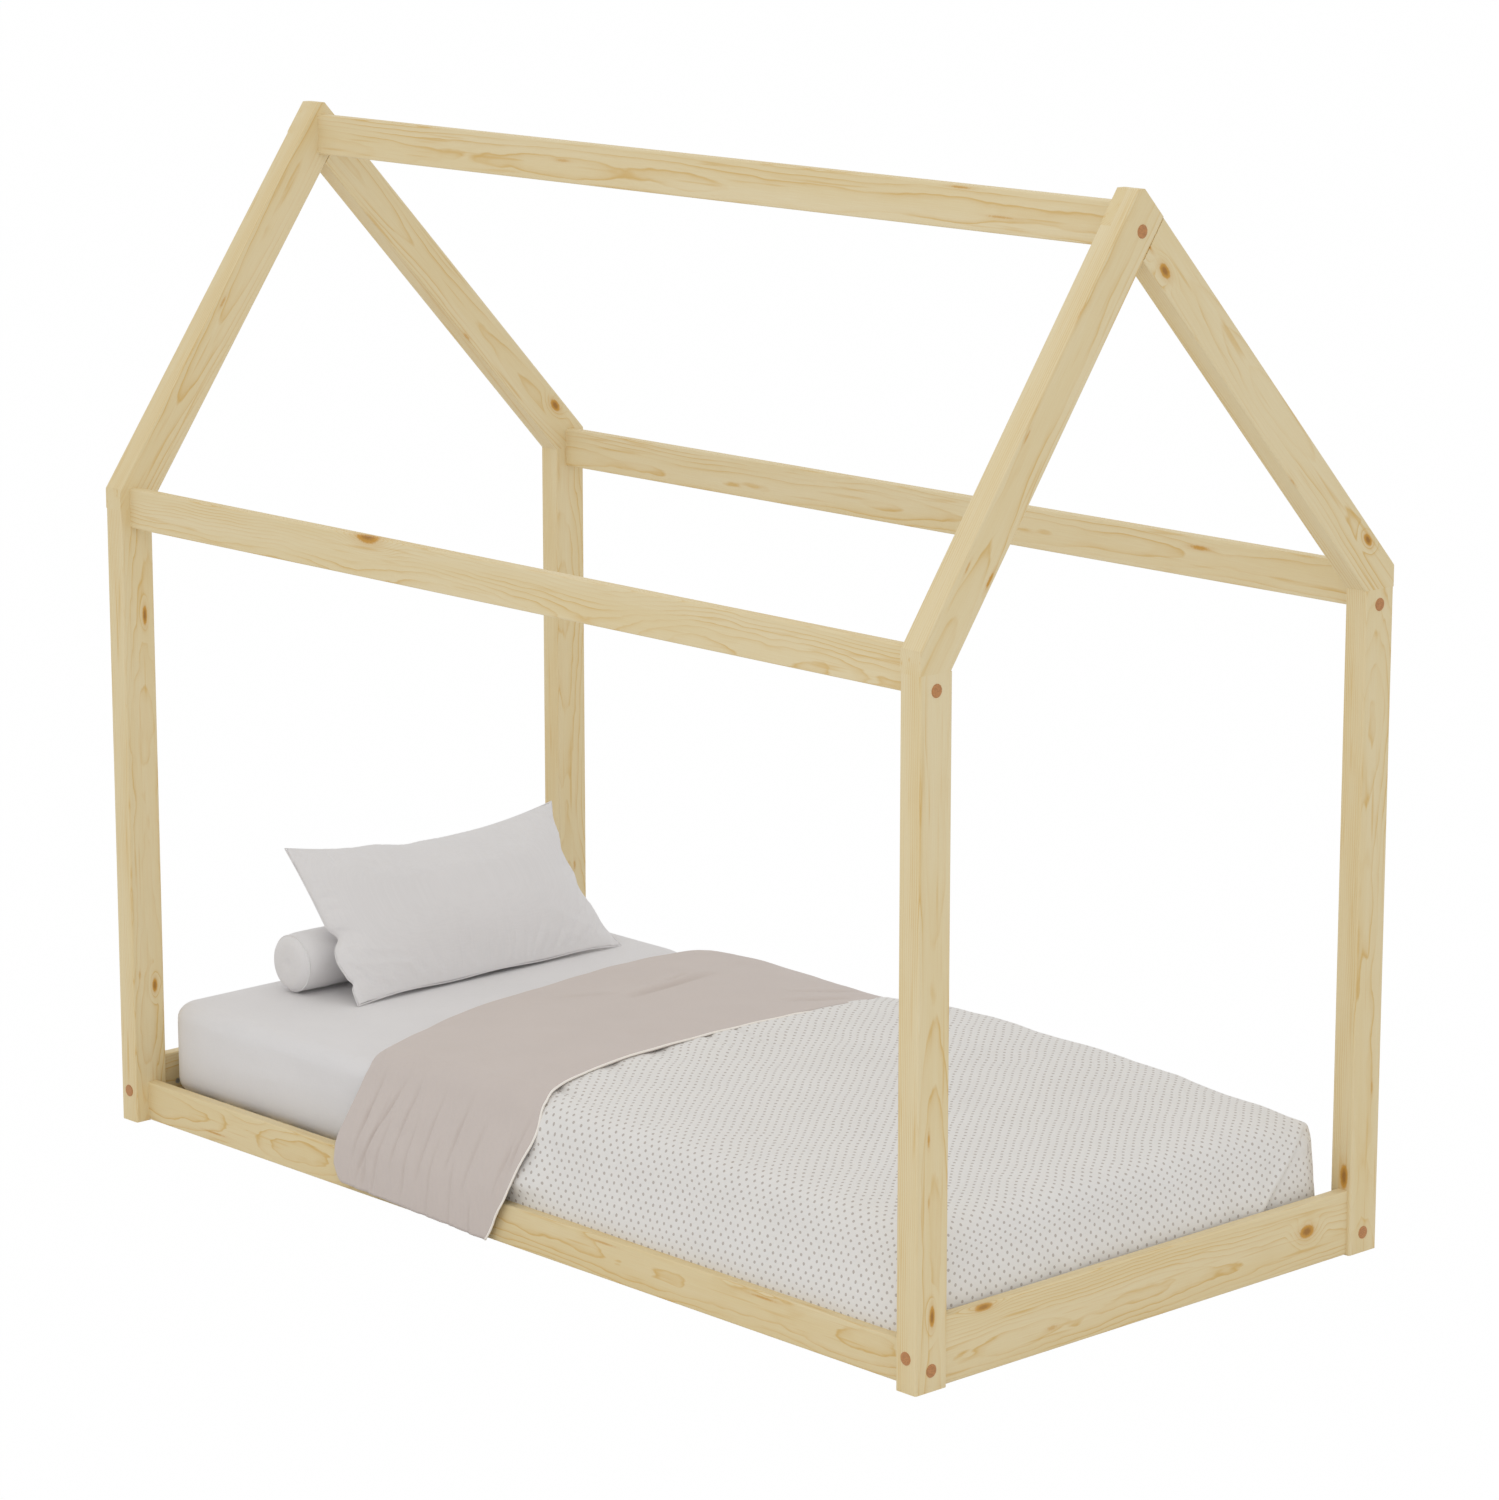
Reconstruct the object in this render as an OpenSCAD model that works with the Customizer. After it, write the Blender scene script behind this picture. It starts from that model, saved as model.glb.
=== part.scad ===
// House-shaped floor bed for a child: four posts, two gables, a ridge beam, low rails round a
// slatted base, and the bedding that lies on it.
// X runs along the bed with the foot at +X, Y runs across it with the near side at -Y, Z is up
// from the floor, and the origin is on the floor under the middle of the bed.

/* [Frame] */
// Length of the frame over the posts
bed_length = 2000; // [1700:5:2300]
// Width of the frame over the posts
bed_width = 1058; // [940:1:1200]
// Height of the post tops, where the rafters are seated
post_height = 1099; // [900:1:1300]
// Post size along the bed, which is also the thickness of the rafters
post_thick = 42.5; // [38:0.5:55]
// Post size across the bed
post_depth = 66; // [58:0.5:80]
// Rounding of the long edges of every board
edge_round = 3; // [1:0.5:4]

/* [Roof] */
// Rise of the roof lines' crossing above the post tops
roof_rise = 683; // [560:1:800]
// Distance of the ridge from the middle of the bed, towards the near side
ridge_shift = 76; // [0:1:110]
// Width of a rafter board
rafter_width = 73.5; // [66:0.5:80]
// Height of a rafter's plumb face above its seat
heel_height = 37; // [28:1:50]
// Depth of the flat cut at the ridge below the crossing of the roof lines
ridge_cut = 9; // [4:1:16]

/* [Rails] */
// Height of the side rails, the eaves rails and the ridge beam
rail_height = 69; // [62:1:80]
// Thickness of every rail
rail_thick = 22; // [20:1:28]
// Height of the end rails
end_rail_height = 108; // [90:1:130]
// Distance of the rails' lower edges from the floor
rail_lift = 1; // [0.5:0.5:4]
// Recess of a side rail behind the posts' outer faces
side_recess = 26; // [22:0.5:28]
// Recess of an end rail behind the posts' outer faces
end_recess = 6.5; // [4:0.5:9]
// Recess of an eaves rail behind the posts' outer faces
eaves_recess = 20; // [16:0.5:24]
// Depth of an eaves rail's lower edge below the post tops
eaves_drop = 33; // [30:1:40]
// Depth of the ridge beam's upper edge below the crossing of the roof lines
beam_drop = 30; // [26:1:40]
// Distance of the ridge beam's middle from the ridge, towards the far side
beam_shift = 4; // [0:0.5:6]

/* [Base] */
// Size of a ledge across the bed
ledge_wide = 22; // [18:1:26]
// Height of a ledge
ledge_high = 22; // [18:1:26]
// Height of a ledge's lower face above the floor
ledge_lift = 6; // [4:1:10]
// Number of slats
slat_count = 14; // [10:1:14]
// Width of a slat
slat_wide = 70; // [50:1:80]
// Thickness of a slat
slat_thick = 15; // [12:0.5:18]
// Gap between a slat's end and the side rail
slat_gap = 2; // [1:0.5:4]
// Gap between the end slats or ledges and the posts
base_gap = 3; // [2:0.5:8]

/* [Fasteners] */
// Diameter of a rail bolt
bolt_dia = 6; // [5:0.5:7]
// Diameter of a bolt or screw head
head_dia = 13; // [11:0.5:14]
// Height of a bolt or screw head
head_high = 6; // [4:0.5:7]
// Depth of the seat that a head is sunk to
seat_depth = 12; // [11:0.5:14]
// Diameter of the sunk hole above a head
seat_dia = 19; // [17:0.5:19.5]
// Diameter of a barrel nut
nut_dia = 10; // [9:0.5:11]
// Length of a barrel nut
nut_length = 14; // [12:0.5:15]
// Distance of a barrel nut from the rail's end
nut_reach = 35; // [28:1:45]
// Length of a bolt past the middle of its barrel nut
bolt_past = 8; // [7:1:12]
// Diameter of an eaves or ridge screw
screw_dia = 5; // [4:0.5:6]
// Length of an eaves or ridge screw inside the rail
screw_reach = 50; // [35:1:60]
// Depth of the side rails' bolts below the rails' middle
side_bolt_drop = 2; // [0:0.5:4]
// Distance of a side rail's dowel below its bolt
side_dowel_drop = 17; // [15:0.5:20]
// Distance of an end rail's dowel above its bolt
end_dowel_rise = 30; // [20:1:34]
// Depth of the eaves screws below the post tops
eaves_screw_drop = 25; // [21:0.5:26]
// Depth of the ridge screws below the crossing of the roof lines
ridge_screw_drop = 72; // [60:1:80]
// Diameter of the cap over a head
cap_dia = 21; // [20:0.5:24]
// Height of a cap above the wood
cap_proud = 1.2; // [0.8:0.1:2]
// Length of a cap's plug inside the sunk hole
cap_plug = 4; // [2:0.5:4.5]
// Diameter of a dowel
dowel_dia = 8; // [6:0.5:9]
// Length of a dowel
dowel_length = 36; // [26:1:38]
// Diameter of a small wood screw
small_screw = 4; // [3:0.5:4.5]
// Wood left in a ledge under a slat screw
slat_screw_cover = 4; // [3:0.5:8]
// Wood left in a side rail before a ledge screw's tip
ledge_screw_cover = 9; // [6:0.5:12]
// Gap round a pin, nut or plug in its hole
fit_gap = 0.1; // [0.05:0.05:0.3]

/* [Mattress] */
// Height of the made mattress, with its sheet
mattress_high = 166.5; // [120:0.5:200]
// Gap between the middled mattress and the planes of the posts' inner end faces
mattress_end_gap = 6; // [5.5:0.5:10]
// Gap between the middled mattress and the planes of the posts' inner side faces
mattress_side_gap = 11.5; // [8:0.5:16]
// How far the mattress lies off the middle, towards the head and towards the near side
mattress_shift = 5; // [0:0.5:5]
// Corner radius of the mattress in plan
mattress_corner = 42; // [30:1:55]
// Rounding of the mattress's upper and lower edges
mattress_edge = 30; // [15:1:34]
// Thickness of the fitted sheet
sheet_thick = 1.5; // [1:0.5:3]
// Width of the sheet's hem under the mattress
sheet_hem = 110; // [60:5:160]

/* [Pillow and bolster] */
// Width of the pillow between its corners
pillow_wide = 620; // [500:5:700]
// Height of the pillow between its corners
pillow_high = 322; // [280:5:380]
// Swell of the pillow's front
pillow_front = 64; // [40:1:80]
// Swell of the pillow's back
pillow_back = 28; // [15:1:35]
// How far the pillow's sides are drawn in between its corners
pillow_draw = 17; // [5:1:24]
// How far the pillow's upper edge sags between its corners
pillow_sag = 34; // [5:1:36]
// How much lower the pillow's far upper corner is than the near one
pillow_tilt = 12; // [0:1:20]
// Lean of the pillow from flat
pillow_lean = 51; // [42:1:60]
// Distance of the pillow's lower edge from the mattress's head end
pillow_in = 262; // [230:1:300]
// Distance of the pillow's middle from the bed's middle, towards the far side
pillow_shift = 75; // [0:1:110]
// Diameter of the bolster
bolster_dia = 110; // [80:1:130]
// Length of the bolster
bolster_length = 600; // [450:5:640]
// Distance of the bolster's middle from the bed's middle, towards the far side
bolster_shift = 26; // [0:1:60]

/* [Duvet] */
// Height of the duvet above the mattress next to its band
duvet_loft = 47; // [30:1:60]
// Fall of the duvet's top from its band to its foot end
duvet_fall = 21; // [0:1:30]
// Thickness of the tucked edge of the duvet
duvet_tuck = 12.5; // [8:0.5:14]
// How much thicker the tucked edge is along the sides than at the foot
duvet_tuck_side = 7; // [0:0.5:8]
// How much rounder the duvet's corners are than the mattress's
duvet_corner_grow = 26; // [10:1:40]
// Height of the tucked edge above the slats
duvet_tuck_lift = 18; // [10:1:40]
// Fall of the duvet's top from its middle to its sides
duvet_side_fall = 5; // [0:0.5:10]
// Rise of the duvet's far shoulder beside the band
duvet_far_rise = 14; // [0:0.5:18]
// Fall of the duvet's far shoulder at the foot end
duvet_far_fall = 5; // [0:0.5:8]
// How far the duvet's far shoulder sinks under the turned-back band
duvet_far_sink = 23; // [0:0.5:26]
// Length of the duvet's single layer that lies under the band
duvet_under = 123; // [60:1:200]
// Gap between soft pieces that lie on each other
soft_gap = 0.5; // [0.3:0.1:1]
// Distance from the bed's middle to the turned-back band's fold, towards the head
band_head = 520; // [420:1:550]
// How far the fold swings towards the foot at the near side
band_swing_near = 125; // [60:1:150]
// How far the fold swings towards the head at the far side
band_swing_far = 38; // [0:1:60]
// Width of the turned-back band in the middle of the bed
band_wide = 522; // [350:1:540]
// Height of the band above the single layer at its foot edge
band_step = 9; // [6:1:14]
// Thickness of the band where it hangs
band_hang = 12; // [8:0.5:14]
// Depth of the folds in the hanging band
band_fold = 5; // [0:0.5:7]
// Height of the band's hem above the floor at its head end
hem_head = 17; // [10:1:40]
// Height of the band's hem above the floor at its foot end
hem_foot = 4; // [3:1:30]

/* [Hidden] */
$fn = 48;

half_length = bed_length/2;
half_width = bed_width/2;
inner_length = half_length - post_thick;
inner_width = half_width - post_depth;

// Roof lines in the cross section: both rise to one crossing above the ridge
ridge_y = -ridge_shift;
crossing_z = post_height + roof_rise;
heel_z = post_height + heel_height;
slope_near = atan2(crossing_z - heel_z, ridge_y + half_width);
slope_far = atan2(crossing_z - heel_z, half_width - ridge_y);
ridge_top = crossing_z - ridge_cut;
flat_near = ridge_y - ridge_cut/tan(slope_near);
flat_far = ridge_y + ridge_cut/tan(slope_far);
rafter_reach = 1.4*(half_width + roof_rise);

// Rails
side_rail_y = half_width - side_recess - rail_thick;
eaves_rail_y = half_width - eaves_recess - rail_thick;
eaves_rail_z = post_height - eaves_drop;
end_rail_x = half_length - end_recess - rail_thick;
beam_y = ridge_y + beam_shift;
beam_z = crossing_z - beam_drop - rail_height;
post_mid_x = half_length - post_thick/2;
post_mid_y = half_width - post_depth/2;
side_bolt_z = rail_lift + rail_height/2 - side_bolt_drop;
end_bolt_z = rail_lift + end_rail_height/2;
side_dowel_z = side_bolt_z - side_dowel_drop;
end_dowel_z = end_bolt_z + end_dowel_rise;
eaves_screw_z = post_height - eaves_screw_drop;
eaves_dowel_z = post_height + heel_height/2;
ridge_screw_z = crossing_z - ridge_screw_drop;
post_dowel_step = post_depth/4;
dowel_in_post = min(15, post_thick/2 - dowel_dia/2 - 2);
dowel_in_rail = dowel_length - dowel_in_post;

// Base
ledge_y = side_rail_y - ledge_wide;
ledge_half = inner_length - base_gap;
slat_z = ledge_lift + ledge_high;
slat_half = side_rail_y - slat_gap;
slat_step = (2*(inner_length - base_gap) - slat_wide)/(slat_count - 1);
small_head = 2*small_screw;
small_head_high = small_screw*0.6;
slat_screw_in = ledge_high - slat_screw_cover;
ledge_screw_in = rail_thick - ledge_screw_cover;

// Mattress
bed_face = slat_z + slat_thick + soft_gap;
mattress_top = bed_face + mattress_high;
mattress_x = inner_length - mattress_end_gap;
mattress_y = inner_width - mattress_side_gap;

// Bolster and pillow: the pillow leans back on the bolster
seam_half = 1.5;
pillow_x = -mattress_x - mattress_shift + pillow_in;
pillow_z = mattress_top + soft_gap + seam_half;
bolster_z = mattress_top + soft_gap + bolster_dia/2;
bolster_away = bolster_dia/2 + pillow_back + seam_half + soft_gap;
bolster_x = pillow_x - (bolster_away + (bolster_z - pillow_z)*cos(pillow_lean))/sin(pillow_lean);

// Duvet, whose tucked edge keeps clear of the rails
tuck_side = duvet_tuck + duvet_tuck_side;
tuck_x = min(mattress_x + soft_gap + duvet_tuck, end_rail_x - soft_gap + mattress_shift);
tuck_y = min(mattress_y + soft_gap + tuck_side, side_rail_y - soft_gap - mattress_shift);
tuck_z = slat_z + slat_thick + duvet_tuck_lift;
tuck_corner = mattress_corner + duvet_corner_grow;
layer_start = band_wide - band_head - duvet_under;
rail_face = half_width - side_recess;
rail_top = rail_lift + rail_height;

// Boards, with rounded long edges

module round_rect(a, b) {
  r = edge_round;
  translate([r, 0]) square([a - 2*r, b]);
  translate([0, r]) square([a, b - 2*r]);
  for (x = [r, a - r], y = [r, b - r]) translate([x, y]) circle(r);
}

// Board along X, from its lower near corner
module board_x(length, wide_y, high_z) {
  rotate([90, 0, 90]) linear_extrude(length) round_rect(wide_y, high_z);
}

// Board along Y, from its lower near corner
module board_y(length, wide_x, high_z) {
  translate([0, length, 0]) rotate([90, 0, 0]) linear_extrude(length) round_rect(wide_x, high_z);
}

// Board along Z, from its lower corner
module board_z(length, wide_x, wide_y) {
  linear_extrude(length) round_rect(wide_x, wide_y);
}

// Round pins from a point, towards +X, +Y or +Z
module pin_x(dia, length) {
  rotate([0, 90, 0]) cylinder(d = dia, h = length);
}

module pin_y(dia, length) {
  rotate([-90, 0, 0]) cylinder(d = dia, h = length);
}

// One quarter of the bed mirrored to another: +1 or -1 along X and Y
module quarter(sx, sy) {
  if (sx > 0 && sy > 0) children();
  if (sx < 0 && sy > 0) mirror([1, 0, 0]) children();
  if (sx > 0 && sy < 0) mirror([0, 1, 0]) children();
  if (sx < 0 && sy < 0) mirror([1, 0, 0]) mirror([0, 1, 0]) children();
}

module all_quarters() {
  for (sx = [1, -1], sy = [1, -1]) quarter(sx, sy) children();
}

module at_side(sy) {
  if (sy > 0) children();
  if (sy < 0) mirror([0, 1, 0]) children();
}

module at_end(sx) {
  if (sx > 0) children();
  if (sx < 0) mirror([1, 0, 0]) children();
}

// Posts

module sunk_hole_x(dia) {
  translate([half_length - seat_depth, 0, 0]) pin_x(seat_dia, seat_depth + 1);
  translate([inner_length - 1, 0, 0]) pin_x(dia, post_thick + 1);
}

module post(sx, sy) {
  hole = dowel_dia + 2*fit_gap;
  quarter(sx, sy) difference() {
    translate([inner_length, inner_width, 0]) board_z(post_height, post_thick, post_depth);
    translate([0, post_mid_y, side_bolt_z]) sunk_hole_x(bolt_dia + 2*fit_gap);
    translate([0, post_mid_y, eaves_screw_z]) sunk_hole_x(screw_dia + 2*fit_gap);
    translate([post_mid_x, half_width - seat_depth, end_bolt_z]) pin_y(seat_dia, seat_depth + 1);
    translate([post_mid_x, inner_width - 1, end_bolt_z]) pin_y(bolt_dia + 2*fit_gap, post_depth + 1);
    translate([inner_length - 1, post_mid_y, side_dowel_z]) pin_x(hole, dowel_in_post + fit_gap + 1);
    translate([end_rail_x + rail_thick/2, inner_width - 1, end_dowel_z])
      pin_y(hole, dowel_in_post + fit_gap + 1);
    for (s = [-1, 1]) translate([post_mid_x, post_mid_y + s*post_dowel_step, post_height - dowel_length/2])
      cylinder(d = hole, h = dowel_length);
  }
}

// Roof

// Cross section of the whole house frame, which trims the rafters
module house_outline() {
  polygon([
    [-half_width, post_height], [-half_width, heel_z], [flat_near, ridge_top],
    [flat_far, ridge_top], [half_width, heel_z], [half_width, post_height]
  ]);
}

// Puts something drawn along a near rafter's upper edge, from its heel, into place
module along_near() {
  translate([0, -half_width, heel_z]) rotate([slope_near, 0, 0]) children();
}

module along_far() {
  translate([0, half_width, heel_z]) rotate([-slope_far, 0, 0]) mirror([0, 1, 0]) children();
}

module rafter_board() {
  translate([0, -rafter_width, -rafter_width]) board_y(rafter_reach, post_thick, rafter_width);
}

// The half of a rafter that the other rafter of its gable laps over
module lap_cut() {
  translate([-1, -rafter_width, -rafter_width]) cube([post_thick/2 + 1, rafter_reach, 2*rafter_width]);
}

module rafter_holes(sx) {
  dowel_hole = dowel_dia + 2*fit_gap;
  // Ridge screw with its sunk head on the outer face
  translate([-1, beam_y, ridge_screw_z]) pin_x(screw_dia + 2*fit_gap, post_thick + 2);
  translate([sx > 0 ? post_thick - seat_depth : -1, beam_y, ridge_screw_z]) pin_x(seat_dia, seat_depth + 1);
  for (sy = [-1, 1]) {
    for (s = [-1, 1]) translate([post_thick/2, sy*post_mid_y + s*post_dowel_step, post_height - dowel_length/2])
      cylinder(d = dowel_hole, h = dowel_length);
    translate([sx > 0 ? -1 : post_thick - dowel_in_post - fit_gap, sy*post_mid_y, eaves_dowel_z])
      pin_x(dowel_hole, dowel_in_post + fit_gap + 1);
  }
}

// Near rafters run through on the foot side of the lap, far rafters on its head side
module rafter(sx, sy) {
  translate([sx > 0 ? inner_length : -half_length, 0, 0]) difference() {
    intersection() {
      if (sy < 0) along_near() rafter_board();
      if (sy > 0) along_far() rafter_board();
      translate([-1, 0, 0]) rotate([90, 0, 90]) linear_extrude(post_thick + 2) house_outline();
    }
    if (sy < 0) along_far() lap_cut();
    if (sy > 0) translate([post_thick, 0, 0]) mirror([1, 0, 0]) along_near() lap_cut();
    rafter_holes(sx);
  }
}

module ridge_beam() {
  hole = screw_dia + 2*fit_gap;
  color("#d8c89c") difference() {
    translate([-inner_length, beam_y - rail_thick/2, beam_z]) board_x(2*inner_length, rail_thick, rail_height);
    for (sx = [-1, 1]) at_end(sx) translate([inner_length - screw_reach - fit_gap, beam_y, ridge_screw_z])
      pin_x(hole, screw_reach + 1);
  }
}

// Rails

module eaves_rail(sy) {
  hole = screw_dia + 2*fit_gap;
  dowel_hole = dowel_dia + 2*fit_gap;
  color("#d6c598") at_side(sy) difference() {
    translate([-inner_length, eaves_rail_y, eaves_rail_z]) board_x(2*inner_length, rail_thick, rail_height);
    for (sx = [-1, 1]) at_end(sx) {
      translate([inner_length - screw_reach - fit_gap, post_mid_y, eaves_screw_z]) pin_x(hole, screw_reach + 1);
      translate([inner_length - dowel_in_rail - fit_gap, post_mid_y, eaves_dowel_z])
        pin_x(dowel_hole, dowel_in_rail + 1);
    }
  }
}

module side_rail(sy) {
  color("#d9c793") at_side(sy) difference() {
    translate([-inner_length, side_rail_y, rail_lift]) board_x(2*inner_length, rail_thick, rail_height);
    for (sx = [-1, 1]) at_end(sx) {
      translate([inner_length - nut_reach - bolt_past - fit_gap, post_mid_y, side_bolt_z])
        pin_x(bolt_dia + 2*fit_gap, nut_reach + bolt_past + 1);
      translate([inner_length - nut_reach, side_rail_y - 1, side_bolt_z])
        pin_y(nut_dia + 2*fit_gap, nut_length + fit_gap + 1);
      translate([inner_length - dowel_in_rail - fit_gap, post_mid_y, side_dowel_z])
        pin_x(dowel_dia + 2*fit_gap, dowel_in_rail + 1);
    }
    for (x = ledge_screw_places()) translate([x, side_rail_y - 1, slat_z - ledge_high/2])
      pin_y(small_screw + 2*fit_gap, ledge_screw_in + fit_gap + 1);
  }
}

module end_rail(sx) {
  nut_side = end_rail_x + rail_thick/2;
  color("#d9c793") at_end(sx) difference() {
    translate([end_rail_x, -inner_width, rail_lift]) board_y(2*inner_width, rail_thick, end_rail_height);
    for (sy = [-1, 1]) at_side(sy) {
      translate([post_mid_x, inner_width - nut_reach - bolt_past - fit_gap, end_bolt_z])
        pin_y(bolt_dia + 2*fit_gap, nut_reach + bolt_past + 1);
      translate([end_rail_x - 1, inner_width - nut_reach, end_bolt_z])
        pin_x(nut_dia + 2*fit_gap, nut_length + fit_gap + 1);
      translate([nut_side, inner_width - dowel_in_rail - fit_gap, end_dowel_z])
        pin_y(dowel_dia + 2*fit_gap, dowel_in_rail + 1);
    }
  }
}

// Base

function slat_place(i) = -inner_length + base_gap + slat_wide/2 + (i - 1)*slat_step;
function ledge_screw_places() = [for (i = [1:3:slat_count - 1]) (slat_place(i) + slat_place(i + 1))/2];

module ledge(sy) {
  hole = small_screw + 2*fit_gap;
  color("#d2bf8c") at_side(sy) difference() {
    translate([-ledge_half, ledge_y, ledge_lift]) board_x(2*ledge_half, ledge_wide, ledge_high);
    for (x = ledge_screw_places()) translate([x, ledge_y, slat_z - ledge_high/2]) {
      translate([0, -1, 0]) pin_y(hole, ledge_wide + 2);
      translate([0, -1, 0]) pin_y(small_head + 2*fit_gap, small_head_high + 1);
    }
    for (i = [1:slat_count]) translate([slat_place(i), ledge_y + ledge_wide/2, slat_z - slat_screw_in - fit_gap])
      cylinder(d = hole, h = slat_screw_in + 1);
  }
}

module slat(i) {
  if (i <= slat_count) color("#dccb9e") difference() {
    translate([slat_place(i) - slat_wide/2, -slat_half, slat_z]) board_y(2*slat_half, slat_wide, slat_thick);
    for (sy = [-1, 1]) translate([slat_place(i), sy*(ledge_y + ledge_wide/2), slat_z - 1]) {
      cylinder(d = small_screw + 2*fit_gap, h = slat_thick + 2);
      translate([0, 0, 1 + slat_thick - small_head_high]) cylinder(d = small_head + 2*fit_gap, h = slat_thick);
    }
  }
}

// Fasteners

// Bolt or screw towards +X with its sunk head at the origin and a hexagon socket
module headed_pin(dia, length) {
  difference() {
    union() {
      pin_x(head_dia, head_high);
      translate([-length, 0, 0]) pin_x(dia, length + 1);
    }
    translate([head_high/2, 0, 0]) rotate([0, 90, 0]) cylinder(d = head_dia*0.45, h = head_high, $fn = 6);
  }
}

module turn_to_y() {
  rotate([0, 0, 90]) children();
}

module rail_bolts() {
  side_length = post_thick - seat_depth + nut_reach + bolt_past;
  end_length = post_depth - seat_depth + nut_reach + bolt_past;
  color("#8d8f91") all_quarters() {
    translate([half_length - seat_depth, post_mid_y, side_bolt_z]) headed_pin(bolt_dia, side_length);
    translate([post_mid_x, half_width - seat_depth, end_bolt_z]) turn_to_y() headed_pin(bolt_dia, end_length);
  }
}

module barrel_nuts() {
  cross = bolt_dia + 2*fit_gap;
  color("#8d8f91") all_quarters() {
    translate([inner_length - nut_reach, side_rail_y, side_bolt_z]) difference() {
      pin_y(nut_dia, nut_length);
      translate([-nut_dia, post_mid_y - side_rail_y, 0]) pin_x(cross, 2*nut_dia);
    }
    translate([end_rail_x, inner_width - nut_reach, end_bolt_z]) difference() {
      pin_x(nut_dia, nut_length);
      translate([post_mid_x - end_rail_x, -nut_dia, 0]) pin_y(cross, 2*nut_dia);
    }
  }
}

module eaves_screws() {
  color("#8d8f91") all_quarters() translate([half_length - seat_depth, post_mid_y, eaves_screw_z])
    headed_pin(screw_dia, post_thick - seat_depth + screw_reach);
}

module ridge_screws() {
  color("#8d8f91") for (sx = [-1, 1]) at_end(sx) translate([half_length - seat_depth, beam_y, ridge_screw_z])
    headed_pin(screw_dia, post_thick - seat_depth + screw_reach);
}

// Cap towards +X with its rim on the wood at the origin
module cap() {
  face = cap_dia/2;
  plug = seat_dia/2 - fit_gap;
  rotate([0, 90, 0]) rotate_extrude() polygon([
    [0, -cap_plug], [plug, -cap_plug], [plug, 0], [face, 0],
    [face, cap_proud*0.4], [face*0.93, cap_proud*0.8], [face*0.8, cap_proud], [0, cap_proud]
  ]);
}

module bolt_caps() {
  color("#b0805c") {
    all_quarters() {
      translate([half_length, post_mid_y, side_bolt_z]) cap();
      translate([half_length, post_mid_y, eaves_screw_z]) cap();
      translate([post_mid_x, half_width, end_bolt_z]) turn_to_y() cap();
    }
    for (sx = [-1, 1]) at_end(sx) translate([half_length, beam_y, ridge_screw_z]) cap();
  }
}

module post_dowels() {
  color("#cdb27c") all_quarters() for (s = [-1, 1])
    translate([post_mid_x, post_mid_y + s*post_dowel_step, post_height - dowel_length/2 + fit_gap])
      cylinder(d = dowel_dia, h = dowel_length - 2*fit_gap);
}

module rail_dowels() {
  color("#cdb27c") all_quarters() {
    translate([inner_length - dowel_in_rail, post_mid_y, side_dowel_z]) pin_x(dowel_dia, dowel_length);
    translate([inner_length - dowel_in_rail, post_mid_y, eaves_dowel_z]) pin_x(dowel_dia, dowel_length);
    translate([end_rail_x + rail_thick/2, inner_width - dowel_in_rail, end_dowel_z])
      pin_y(dowel_dia, dowel_length);
  }
}

module ledge_screws() {
  color("#b9a15f") for (sy = [-1, 1]) at_side(sy) for (x = ledge_screw_places())
    translate([x, ledge_y, slat_z - ledge_high/2]) {
      pin_y(small_head, small_head_high);
      pin_y(small_screw, ledge_wide + ledge_screw_in);
    }
}

module slat_screws() {
  color("#b9a15f") for (sy = [-1, 1], i = [1:slat_count])
    translate([slat_place(i), sy*(ledge_y + ledge_wide/2), slat_z - slat_screw_in]) {
      cylinder(d = small_screw, h = slat_screw_in + slat_thick);
      translate([0, 0, slat_screw_in + slat_thick - small_head_high]) cylinder(d = small_head, h = small_head_high);
    }
}

// Soft forms

function quarter_arc(cx, cy, r, from, steps) =
  [for (i = [0:steps]) [cx + r*cos(from + 90*i/steps), cy + r*sin(from + 90*i/steps)]];

function between(p, q, n) = [for (i = [1:1:n]) p + (q - p)*i/(n + 1)];

// Rounded rectangle about the origin, anticlockwise, with extra points along its sides
function ring(hx, hy, r, steps, nx, ny) = concat(
  quarter_arc(hx - r, hy - r, r, 0, steps), between([hx - r, hy], [r - hx, hy], nx),
  quarter_arc(r - hx, hy - r, r, 90, steps), between([-hx, hy - r], [-hx, r - hy], ny),
  quarter_arc(r - hx, r - hy, r, 180, steps), between([r - hx, -hy], [hx - r, -hy], nx),
  quarter_arc(hx - r, r - hy, r, 270, steps), between([hx, r - hy], [hx, hy - r], ny)
);

function middle_of(points) = [for (axis = [0:2]) [for (p = points) p[axis]]*[for (p = points) 1]/len(points)];

// Closed solid through rings of equal count, capped by a fan at its first and last ring
module ring_solid(rings) {
  n = len(rings[0]);
  k = len(rings);
  points = concat([for (r = rings) for (p = r) p], [middle_of(rings[0]), middle_of(rings[k - 1])]);
  faces = concat(
    [for (j = [0:n - 1]) [n*k, j, (j + 1) % n]],
    [for (i = [0:k - 2], j = [0:n - 1]) for (half = [0, 1]) half == 0
      ? [i*n + j, (i + 1)*n + j, (i + 1)*n + (j + 1) % n]
      : [i*n + j, (i + 1)*n + (j + 1) % n, i*n + (j + 1) % n]],
    [for (j = [0:n - 1]) [n*k + 1, (k - 1)*n + (j + 1) % n, (k - 1)*n + j]]
  );
  polyhedron(points, faces);
}

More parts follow.
